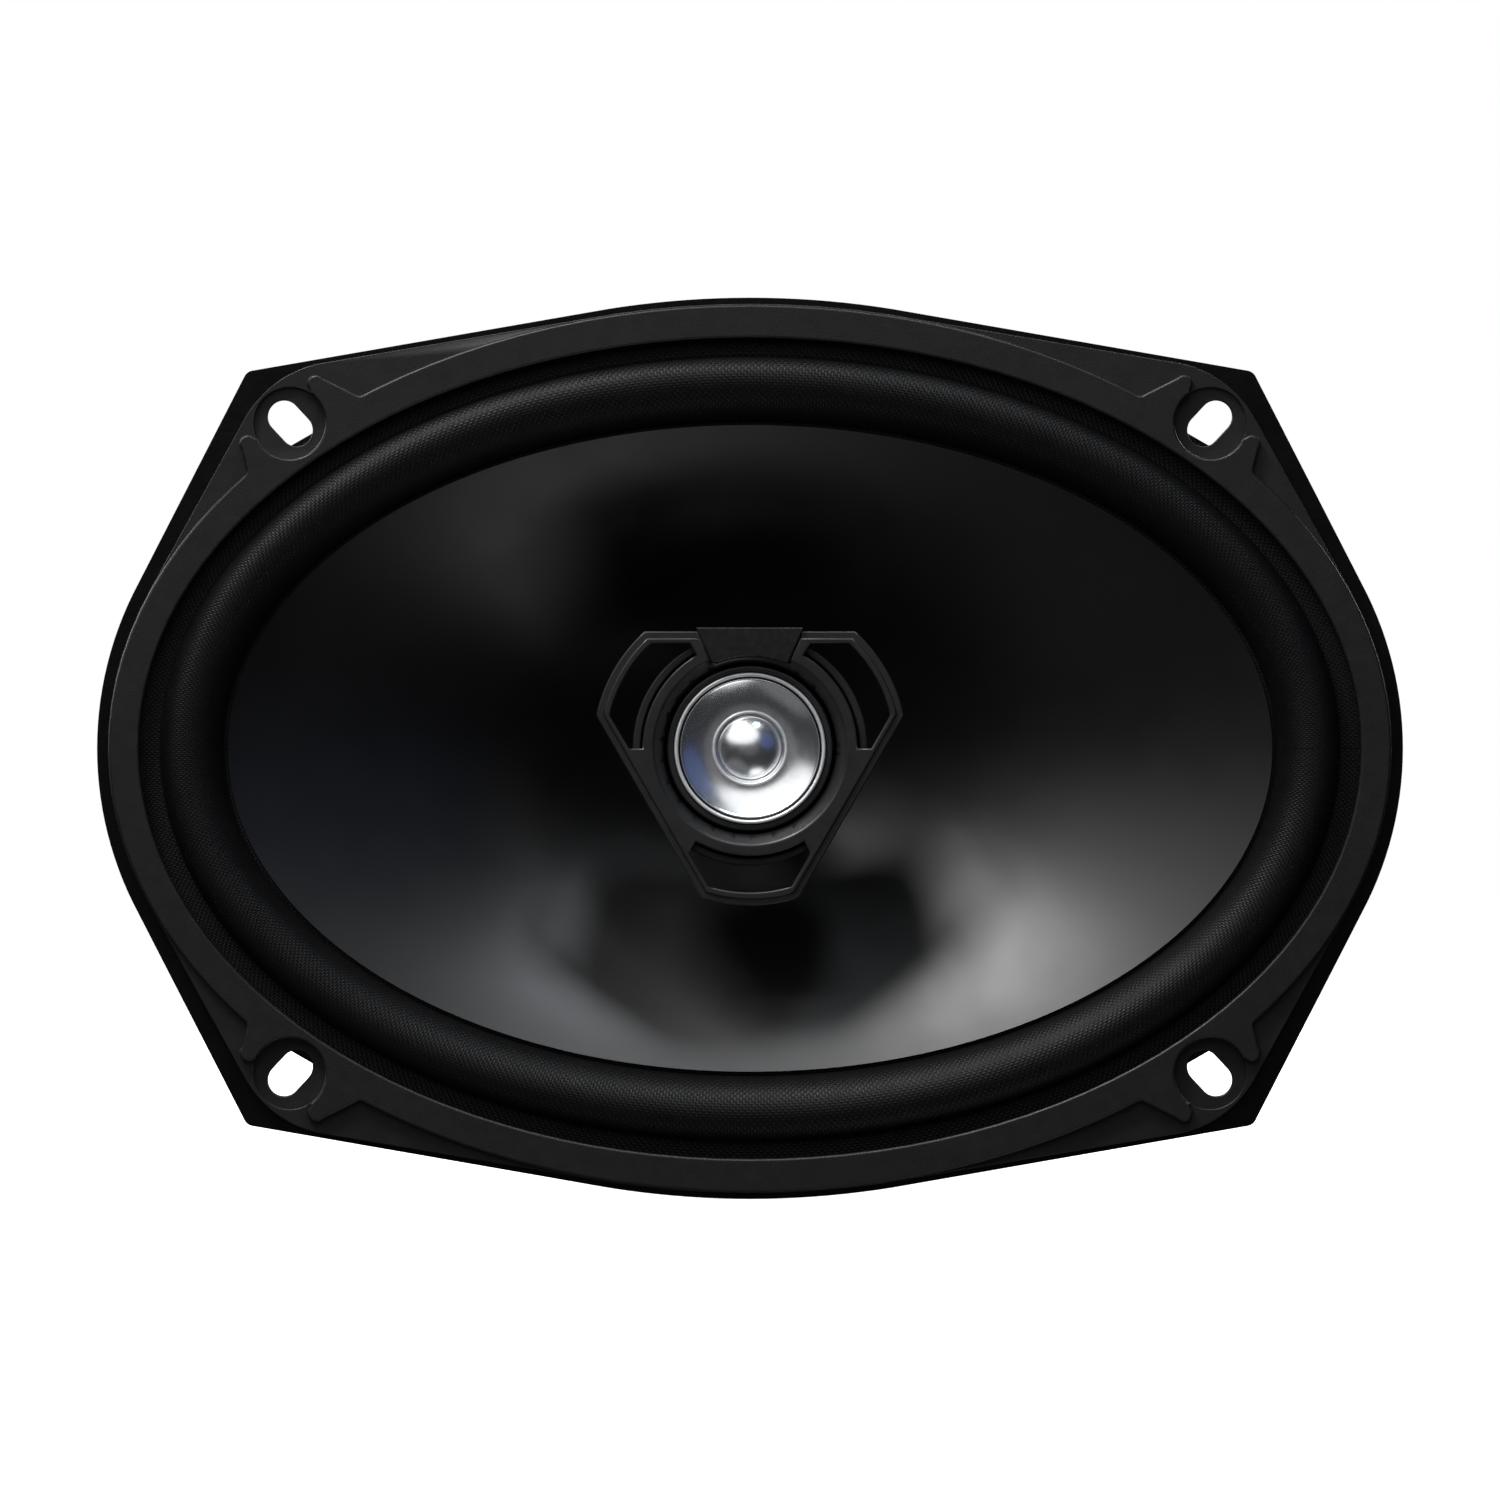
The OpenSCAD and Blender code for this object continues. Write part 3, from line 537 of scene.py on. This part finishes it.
def outward(mesh):
    shape = bmesh.new()
    shape.from_mesh(mesh)
    bmesh.ops.recalc_face_normals(shape, faces=shape.faces)
    shape.to_mesh(mesh)
    shape.free()


def oval_piece(name, near, far, section, finish, sides=256):
    """A closed section of (blend, out, z) carried round from the near oval to the far one."""
    points = [(b, o * MM, z * MM) for b, o, z in section + section[:1]]
    piece = build(name, section_mesh(points, (far[0] - near[0]) * MM), turning,
        finishes[finish], Near_Oval=Vector((*near, 0)) * MM, Far_Oval=Vector((*far, 0)) * MM,
        Sides=sides, Way_Round=math.pi * (far[0] + far[1]) * MM)
    outward(piece.data)
    return piece


def turned(name, section, finish, sides=128):
    """A closed section of (r, z) turned round the listening axis."""
    points = [(r, 0.0, z * MM) for r, z in section + section[:1]]
    around = 2 * math.pi * max(r for r, z in section) * MM
    piece = build(name, section_mesh(points, MM), turning, finishes[finish],
        Near_Oval=(0, 0, 0), Far_Oval=(MM, MM, 0), Sides=sides, Way_Round=around)
    outward(piece.data)
    return piece


def eased(corners, radius, steps=3):
    """The section with its corners rounded off, and its flats held flat beside them."""
    eased_points, count = [], len(corners)
    for i, corner in enumerate(corners):
        here = Vector(corner[:2])
        r = corner[2] if len(corner) > 2 else radius
        back = Vector(corners[i - 1][:2]) - here
        on = Vector(corners[(i + 1) % count][:2]) - here
        reach = min(r, back.length / 3, on.length / 3)
        a, b = here + back.normalized() * reach, here + on.normalized() * reach
        eased_points.append(tuple(here + back.normalized() * reach * 1.4))
        for k in range(steps + 1):
            s = k / steps
            eased_points.append(tuple(a * (1 - s) ** 2 + here * 2 * s * (1 - s) + b * s * s))
        eased_points.append(tuple(here + on.normalized() * reach * 1.4))
    return eased_points


def round_rims(shape, height, radius, sharp):
    """Rounds the sharp outer edges at this height above the panel face, and fills the flat
    between them afresh, holes and all."""
    def level(part):
        return all(abs(v.co.y + height * MM) < 1e-5 for v in part.verts)

    rims = [e for e in shape.edges if len(e.link_faces) == 2 and level(e)
        and e.calc_face_angle_signed() > sharp]
    bmesh.ops.bevel(shape, geom=rims, offset=radius * MM, segments=3, profile=0.5, affect="EDGES",
        clamp_overlap=False, loop_slide=False)
    bmesh.ops.delete(shape, geom=[f for f in shape.faces if level(f)], context="FACES")
    fill = bmesh.ops.triangle_fill(shape, use_beauty=True, normal=(0, -1, 0),
        edges=[e for e in shape.edges if e.is_boundary and level(e)])["geom"]
    bmesh.ops.dissolve_limit(shape, angle_limit=math.radians(0.4), verts=[],
        edges=[e for e in fill if isinstance(e, bmesh.types.BMEdge)])
    bmesh.ops.recalc_face_normals(shape, faces=shape.faces)


def rounded_copy(name, node, finish, edge=0, rims=()):
    """A copy of a frame node with its sharp edges rounded by this many millimetres, or only the
    rims at these (height, radius) pairs."""
    sharp = math.radians(30)
    mesh = nodes[node].data.copy()
    for spare in ("custom_normal", "UVMap"):
        if spare in mesh.attributes:
            mesh.attributes.remove(mesh.attributes[spare])
    shape = bmesh.new()
    shape.from_mesh(mesh)
    bmesh.ops.remove_doubles(shape, verts=shape.verts, dist=1e-6)
    bmesh.ops.dissolve_limit(shape, angle_limit=math.radians(0.4), verts=shape.verts,
        edges=shape.edges)
    for height, radius in rims:
        round_rims(shape, height, radius, sharp)
    shape.to_mesh(mesh)
    shape.free()
    mesh.materials.clear()
    mesh.materials.append(finishes[finish])
    piece = add_to_scene(bpy.data.objects.new(name, mesh))
    mesh.shade_smooth()
    if not rims:
        bevel = piece.modifiers.new("edge", "BEVEL")
        bevel.width, bevel.segments = edge * MM, 2
        bevel.limit_method, bevel.angle_limit = "ANGLE", sharp
    mesh.set_sharp_from_angle(angle=sharp)
    flats = piece.modifiers.new("flats", "WEIGHTED_NORMAL")
    flats.keep_sharp = False
    return made_plain(piece)


def smooth_step(x):
    x = min(1.0, max(0.0, x))
    return x * x * (3 - 2 * x)


def bend(piece, still, moving, node, share):
    """The piece bends between two bodies. share gives, from a vertex's reach value and place,
    how far it follows the moving one."""
    reach = [d.value for d in piece.data.attributes["reach"].data]
    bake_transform(piece, still, moving, start=(0, 0, 0), end=(0, 1, 0))
    weights = piece.data.attributes["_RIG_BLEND"].data
    for v, r, w in zip(piece.data.vertices, reach, weights):
        w.value = share(r, v.co)
    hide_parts(node)


# ---- basket and trim ring ----

def make_basket():
    fit(rounded_copy("basket_pressing", "basket", "basket_steel", 0.35), "basket_assembly",
        "basket")
    fit(rounded_copy("trim_ring_moulding", "trim_ring", "trim_plastic",
        rims=[(5.8, 0.5), (3.8, 0.16), (2.6, 0.2)]),
        "basket_assembly", "trim_ring")
    head = [(0, -54.0), (1.5, -54.0), (1.5, -53), (3.0, -53), (2.7, -52.2), (1.2, -51.8),
        (0, -51.8)]
    rivet = turned("rivet_head", eased(head, 0.2), "zinc_steel", 32)
    rivets = build("basket_rivet_heads", rivet.data, ring_of, finishes["zinc_steel"], Count=4,
        Circle_Radius=31 * MM, First_Angle=math.radians(45))
    bpy.data.objects.remove(rivet)
    fit(rivets, "basket_assembly", "basket_rivets")


# ---- cone, surround, spider and coil ----

NECK_Z, CONE_DEPTH, CONE_RIM, ROLL_OUTER = -37.4, 38, (94, 58.2), (107, 71.5)


def cone_face_z(t):
    return NECK_Z + CONE_DEPTH * (t + 0.3 * t * (1 - t))


def make_cone():
    steps = 36
    front = [(i / steps, 0, cone_face_z(i / steps)) for i in range(steps + 1)]
    back = [(b, 0, z - 0.8) for b, _, z in reversed(front)]
    collar = [(0, 0, -40), (0, -0.4, -40), (0, -0.4, NECK_Z)]
    cone = oval_piece("cone_body", (15.7, 15.7), CONE_RIM, front + back + collar, "cone_film")
    fit(cone, "cone_assembly", "cone")
    bead = [(15.32, -37.1), (16.2, -36.9), (16.9, -36.35), (17.3, -36.55), (16, -37.5),
        (15.32, -37.9)]
    fit(turned("neck_cement", eased(bead, 0.3, 2), "glue"), "cone_assembly", None)
    dust = [(6.1, -34.4), (9, -35.05), (12, -36.3), (14, -37.15), (15.3, -37.3), (15.8, -36.8),
        (14, -36.6), (12, -35.75), (9, -34.5), (6.1, -33.9)]
    fit(turned("dust_ring_cloth", eased(dust, 0.4, 2), "dust_cloth"), "cone_assembly", "dust_ring")


def make_surround():
    steps, inner_z, outer_z, thick = 28, -1.0, 1.3, 0.7

    def arch(half, height, lift):
        points = []
        for i in range(steps + 1):
            a = math.pi * i / steps
            base = lift + inner_z + (outer_z - inner_z) * (1 - math.cos(a)) / 2
            points.append((0.5 - half * math.cos(a), 0, base + height * math.sin(a)))
        return points

    lip = 6.6
    flap_z = cone_face_z(0.94) - 1.6
    section = [(-0.15, 0, flap_z)] + arch(0.39, 5.8, 0) + [(1, 0.3, outer_z), (1, lip, outer_z),
        (1, lip, outer_z + thick), (1, 0.3, outer_z + thick)]
    section += arch(0.44, 5.9, thick)[::-1] + [(0.01, 0, -0.25), (-0.15, 0, flap_z + thick)]
    roll = oval_piece("surround_roll", CONE_RIM, ROLL_OUTER, section, "surround_cloth")
    bend(roll, "basket_assembly", "cone_assembly", "surround",
        lambda reach, at: 1 - smooth_step(reach))


def make_spider():
    mid, steps = -41.3, 100
    path = [(15.35, mid), (18.6, mid)]
    for i in range(steps + 1):
        r = 19 + (42.7 - 19) * i / steps
        path.append((r, mid + 1.5 * math.sin(2 * math.pi * 5 * (r - 19) / (42.7 - 19))))
    path += [(43.2, mid), (50.5, mid)]
    section = [(r, z - 0.25) for r, z in path] + [(r, z + 0.25) for r, z in reversed(path)]
    spider = turned("spider_waves", section, "spider_cloth", 160)
    bend(spider, "basket_assembly", "cone_assembly", "spider",
        lambda reach, at: 1 - smooth_step((math.hypot(at.x, at.z) / MM - 19) / (42.7 - 19)))
    fit(turned("spider_cement", eased([(42.9, -41.0), (43.6, -40.6), (44.6, -41.04)], 0.2), "glue"),
        "basket_assembly", None)


def make_voice_coil():
    coil = build("voice_coil_turns", bpy.data.meshes.new("none"), winding, finishes["coil_copper"],
        Turns=30, Coil_Radius=15.6 * MM, Wire_Radius=0.16 * MM, Back=61.05 * MM, Pitch=0.3 * MM)
    fit(coil, "cone_assembly", "voice_coil_winding")
    dress("voice_coil_former", "former_foil")


def dress(node, finish):
    """A frame node whose shape is right keeps it and only takes its finish."""
    piece = nodes[node]
    if piece.material_slots:
        piece.material_slots[0].material = finishes[finish]
    else:
        piece.data.materials.append(finishes[finish])


# ---- motor ----

def make_motor():
    body = "basket_assembly"
    plate = [(16.6, -54.2), (40, -54.2), (40, -59.2), (16.6, -59.2)]
    fit(turned("top_plate_turning", eased(plate, 0.6), "zinc_steel"), body, "top_plate")
    magnet = [(22, -59.2), (42.5, -59.2), (42.5, -73.2), (22, -73.2)]
    fit(turned("ferrite_ring", eased(magnet, 0.9, 2), "ferrite"), body, "ferrite_magnet")
    yoke = [(40, -79.2, 1.6), (40, -73.2, 0.5), (15.6, -73.2, 0.8), (14.6, -72.4, 0.4),
        (14.6, -53.5), (4.55, -53.5), (4.55, -74.7), (8.5, -74.7), (8.5, -79.2, 0.7)]
    fit(turned("t_yoke_turning", eased(yoke, 0.5), "zinc_steel"), body, "t_yoke")
    for z, r in ((-59.2, 40.1), (-73.2, 40.1)):
        ring = [(r - 0.3, z - 0.45), (r + 0.35, z - 0.1), (r + 0.35, z + 0.1), (r - 0.3, z + 0.45)]
        fit(turned(f"magnet_cement_{int(-z)}", ring, "glue"), body, None)
    fit(rounded_copy("post_hex_nut", "post_nut", "nickel_plate", 0.35), body, "post_nut")
    post = [(2.2, -78.3), (4.5, -78.3), (4.5, -11), (9, -11), (9, -9), (2.2, -9)]
    fit(turned("post_moulding", eased(post, 0.3, 2), "post_plastic", 64), body, "tweeter_post")


# ---- tweeter ----

def make_tweeter():
    body, dome = "basket_assembly", "tweeter_dome"
    housing = [(2.2, -9), (21.1, -9, 1.4), (21.1, 6), (19.6, 6), (19.6, -7.5, 0.8), (2.2, -7.5)]
    fit(turned("tweeter_cup", eased(housing, 0.3), "bracket_plastic"), body, "tweeter_housing")
    for node in ("tweeter_pot", "tweeter_pole_plate"):
        dress(node, "zinc_steel")
    dress("tweeter_magnet", "nickel_plate")
    frame_ring = [(8.3, 1), (14.9, 1), (14.9, 6.1, 0.35), (13.8, 6.1, 0.1), (13.7, 5.9, 0.05),
        (12.85, 5.9), (12.85, 6.1), (12.75, 6.1, 0.05), (12.75, 2), (8.3, 2)]
    fit(turned("tweeter_faceplate", eased(frame_ring, 0.2), "bracket_plastic", 160), body,
        "tweeter_frame")
    bezel = [(12.9, 5.95), (12.9, 6.5), (13.02, 6.7), (13.25, 6.76), (13.48, 6.7), (13.6, 6.5),
        (13.6, 5.95)]
    fit(turned("bezel_ring_polished", eased(bezel, 0.1, 2), "bright_ring", 160), body,
        "tweeter_bezel_ring")
    fit(rounded_copy("bracket_plate", "tweeter_bracket", "bracket_plastic",
        rims=[(9, 0.35), (8.4, 0.3)]), body,
        "tweeter_bracket")
    fit(rounded_copy("badge_blank", "badge_plate", "badge_plastic", 0.25), body, "badge_plate")

    top, cap = [], (5.6 ** 2 + 2.1 ** 2) / 4.2
    for i in range(25):
        r = 5.6 * i / 24
        top.append((r, 3.5 + 2.1 - cap + math.sqrt(cap * cap - r * r)))
    top += [(5.75, 3.46), (5.95, 3.5), (6.08, 3.66), (6.15, 3.8), (6.4, 3.84), (6.8, 3.8)]
    for i in range(1, 25):
        r = 6.8 + 5.4 * i / 24
        top.append((r, 3.8 + 1.6 * ((r - 6.8) / 5.4) ** 1.8))
    top += [(12.3, 5.5), (12.45, 5.52), (12.6, 5.45)]
    under = [(r, z - 0.25) for r, z in reversed(top)]
    film = turned("diaphragm_film", top + under, "silver_film", 160)
    bend(film, body, dome, "tweeter_diaphragm",
        lambda reach, at: 1 - smooth_step((math.hypot(at.x, at.z) / MM - 7) / 5))
    ring = [(6.2, 3.75), (6.24, 3.95), (6.36, 4.07), (6.5, 4.1), (6.64, 4.07), (6.76, 3.95),
        (6.8, 3.75)]
    fit(turned("coil_ring_polished", eased(ring, 0.05, 2), "bright_ring", 160), dome,
        "tweeter_coil_ring")
    coil = build("tweeter_coil_turns", bpy.data.meshes.new("none"), winding,
        finishes["coil_copper"], Turns=26, Coil_Radius=6.42 * MM, Wire_Radius=0.08 * MM,
        Back=0.4 * MM, Pitch=0.15 * MM)
    fit(coil, dome, "tweeter_voice_coil")


# ---- terminals and leads ----

ARM_AT, ARM_SLOPE = (0, 62.9, -24.9), math.atan((71.8 - 52.4) / 36)


def on_arm(x, y, z):
    """A point in the frame of the top arm's outer face, where y runs to the rear and z outwards."""
    c, s = math.cos(ARM_SLOPE), math.sin(ARM_SLOPE)
    return (x, ARM_AT[1] - y * s + z * c, ARM_AT[2] - y * c - z * s)


def arm_turning(name, section, finish, centres, sides=40):
    """Copies of a turned section, standing on the arm at these places."""
    piece = turned(name, section, finish, sides)
    mesh = piece.data
    shape = bmesh.new()
    for x, y in centres:
        start = len(shape.verts)
        shape.from_mesh(mesh)
        shape.verts.ensure_lookup_table()
        for v in shape.verts[start:]:
            v.co = placed(*on_arm(x + v.co.x / MM, y + v.co.z / MM, -v.co.y / MM))
    bmesh.ops.recalc_face_normals(shape, faces=shape.faces)
    shape.to_mesh(mesh)
    shape.free()
    mesh.shade_smooth()
    mesh.set_sharp_from_angle(angle=math.radians(40))
    return piece


def make_terminals():
    body = "basket_assembly"
    fit(rounded_copy("terminal_board_plate", "terminal_board", "fibre_board", 0.2), body,
        "terminal_board")
    for node in ("positive_blade", "negative_blade"):
        fit(rounded_copy(node.replace("blade", "tab"), node, "tinned_brass", 0.18), body, node)
    head = [(0, -2.2), (1.5, -2.2), (1.5, 4.2), (2.3, 4.2), (2.25, 4.7), (1.6, 5.1), (0.9, 5.1),
        (0.6, 4.6), (0, 4.6)]
    fit(arm_turning("board_rivet_head", eased(head, 0.15, 2), "zinc_steel", [(0, 3)]), body,
        "board_rivet")
    small = [(0, 1.9), (1.8, 1.9), (1.8, 2.6), (1.0, 2.6), (1.0, 5.0), (1.35, 5.0), (1.3, 5.3),
        (0.8, 5.6), (0, 5.6)]
    fit(arm_turning("blade_rivet_heads", eased(small, 0.12, 2), "nickel_plate",
        [(-6.5, -4), (6.5, -4)]), body, "blade_rivets")
    blob = [(0, 5.0), (0, 6.1), (0.6, 5.95), (1.15, 5.5), (1.35, 5.0)]
    fit(arm_turning("solder_joints", eased(blob, 0.3, 3), "solder", [(-6.5, -6.4), (6.5, -6.4)],
        32), body, None)


def make_capacitor():
    """The capacitor, and the two beads of melt that hold it on the magnet."""
    from_axis, x0, rear = 45.9, -8, -73.7
    y0 = math.sqrt(from_axis ** 2 - x0 ** 2)
    can = [(0, rear), (2.5, rear), (2.6, rear + 0.25), (3.25, rear + 0.3), (3.3, rear + 0.9),
        (3.3, rear + 10.6), (3.02, rear + 11), (3.02, rear + 11.4), (3.3, rear + 11.8),
        (3.3, rear + 12.4), (2.9, rear + 12.8), (2.5, rear + 12.8), (2.4, rear + 12.6),
        (0, rear + 12.6)]
    piece = turned("capacitor_can", eased(can, 0.2, 2), "capacitor_sleeve", 48)
    for v in piece.data.vertices:
        v.co += placed(x0, y0, 0)
    fit(piece, "basket_assembly", "crossover_capacitor")
    bead = bpy.data.meshes.new("capacitor_melt")
    shape = bmesh.new()
    for side in (-1, 1):
        blob = bmesh.ops.create_icosphere(shape, subdivisions=4, radius=1)["verts"]
        for v in blob:
            swell = 1 + 0.12 * math.sin(5 * v.co.z + side) * math.cos(3 * v.co.x)
            v.co = placed(x0 + side * 2.9 + 1.9 * v.co.x * swell, y0 - 2.8 + 1.5 * v.co.y * swell,
                rear + 7 + 3.6 * v.co.z * swell)
    shape.to_mesh(bead)
    shape.free()
    bead.materials.append(finishes["hot_melt"])
    bead.shade_smooth()
    outward(bead)
    fit(add_to_scene(bpy.data.objects.new("capacitor_melt", bead)), "basket_assembly", None)


def route_points(route, steps=8):
    """A smooth curve through the route's points."""
    points, last = [], len(route) - 1
    for i in range(last):
        a, b, c, d = (Vector(route[min(max(k, 0), last)]) for k in (i - 1, i, i + 1, i + 2))
        for s in range(steps):
            f = s / steps
            points.append(0.5 * (2 * b + (c - a) * f + (2 * a - 5 * b + 4 * c - d) * f * f
                + (3 * b - a - 3 * c + d) * f ** 3))
    return points + [Vector(route[-1])]


def lead(name, routes, finish, strands, strand, lay, pitch):
    """Leads along these routes, of strands this thick that wind once in every pitch."""
    mesh, points, edges, length = bpy.data.meshes.new(name), [], [], 0.0
    for route in routes:
        line = route_points(route)
        length = max(length, sum((b - a).length for a, b in zip(line, line[1:])))
        edges += [(len(points) + i, len(points) + i + 1) for i in range(len(line) - 1)]
        points += [placed(*p) for p in line]
    mesh.from_pydata(points, edges, [])
    piece = build(name, mesh, stranded, finishes[finish], Strands=strands,
        Strand_Radius=strand * MM, Lay_Radius=lay * MM, Twists=length / pitch)
    outward(piece.data)
    return piece


TINSEL = [(6.5, 71, -19.6), (6.6, 71, -17.2), (6.6, 68.6, -14.6), (6.6, 64, -14.4),
    (6.5, 58, -19), (6.3, 50, -26.5), (6, 40, -33), (5.6, 30, -36.4), (5, 22, -37.6),
    (4.6, 17.6, -38.6)]
TWEETER_LEADS = [
    [(-0.9, 0, -7), (-0.9, 0, -40), (-0.9, 0, -74), (-1, 0.6, -78.4), (-1.6, 3, -80.4),
        (-3.2, 12, -80.4), (-5.4, 26, -80.4), (-7.2, 38, -80.5), (-7.9, 43, -79.6), (-8, 45, -77),
        (-8, 45.2, -74.2)],
    [(-8, 45.2, -60.2), (-8, 46, -56), (-7, 49.6, -50.6), (-5, 54.6, -45.6), (-3.5, 58.6, -40.6),
        (-3.35, 62, -36.6), (-3.35, 65.4, -32.4), (-3.35, 66.6, -29.6), (-3.4, 68.6, -26.2),
        (-4, 70.4, -23.2), (-4.4, 71.6, -20.8)],
    [(0.9, 0, -7), (0.9, 0, -40), (0.9, 0, -74), (1, 0.6, -78.4), (1.4, 3, -80.4), (2, 12, -80.4),
        (2.8, 26, -80.4), (3.3, 38, -80.5), (3.6, 42.6, -79.4), (3.7, 43.8, -76),
        (3.7, 43.8, -62), (3.7, 45, -56), (3.7, 49.6, -50.6), (3.6, 54.6, -45.6),
        (3.5, 58.6, -40.6), (3.6, 62, -36.6), (3.6, 65.4, -32.4), (3.6, 66.6, -29.6),
        (3.7, 68.6, -26.2), (4.4, 70.4, -23.2), (5.3, 71.6, -20.8)]]


def make_leads():
    both = [TINSEL, [(-x, y, z) for x, y, z in TINSEL]]
    braid = lead("tinsel_lead_braid", both, "tinsel_copper", 4, 0.42, 0.38, 3.2)
    bend(braid, "basket_assembly", "cone_assembly", "tinsel_leads",
        lambda reach, at: smooth_step((reach - 0.2) / 0.7))
    wires = lead("tweeter_lead_wires", TWEETER_LEADS, "lead_insulation", 1, 0.7, 0, 1e9)
    fit(wires, "basket_assembly", "tweeter_leads")


add_camera()
add_world()
add_softbox("key_high", 114, 66, (0.46, 0.5), 28)
add_softbox("key_broad", 118, 42, (2.1, 1.25), 1.1)
add_softbox("fill_high", 76, 70, (0.22, 0.38), 22, (0.88, 0.94, 1))
add_softbox("low_lobe", -73, 67, (0.8, 0.6), 1.4)
add_softbox("low_left_wash", 236, 60, (1.1, 1.1), 0.12)
add_softbox("blue_card", 26, 46, (0.9, 0.9), 0.16, (0.2, 0.36, 1))
add_softbox("front_wash", 90, 4, (2, 2), 0.06, distance=2.4)
add_softbox("rear_left", 150, 125, (0.9, 0.9), 5)
add_softbox("rear_right", 40, 140, (0.9, 0.9), 5)
add_floor()
make_basket()
make_cone()
make_surround()
make_spider()
make_voice_coil()
make_motor()
make_tweeter()
make_terminals()
make_capacitor()
make_leads()
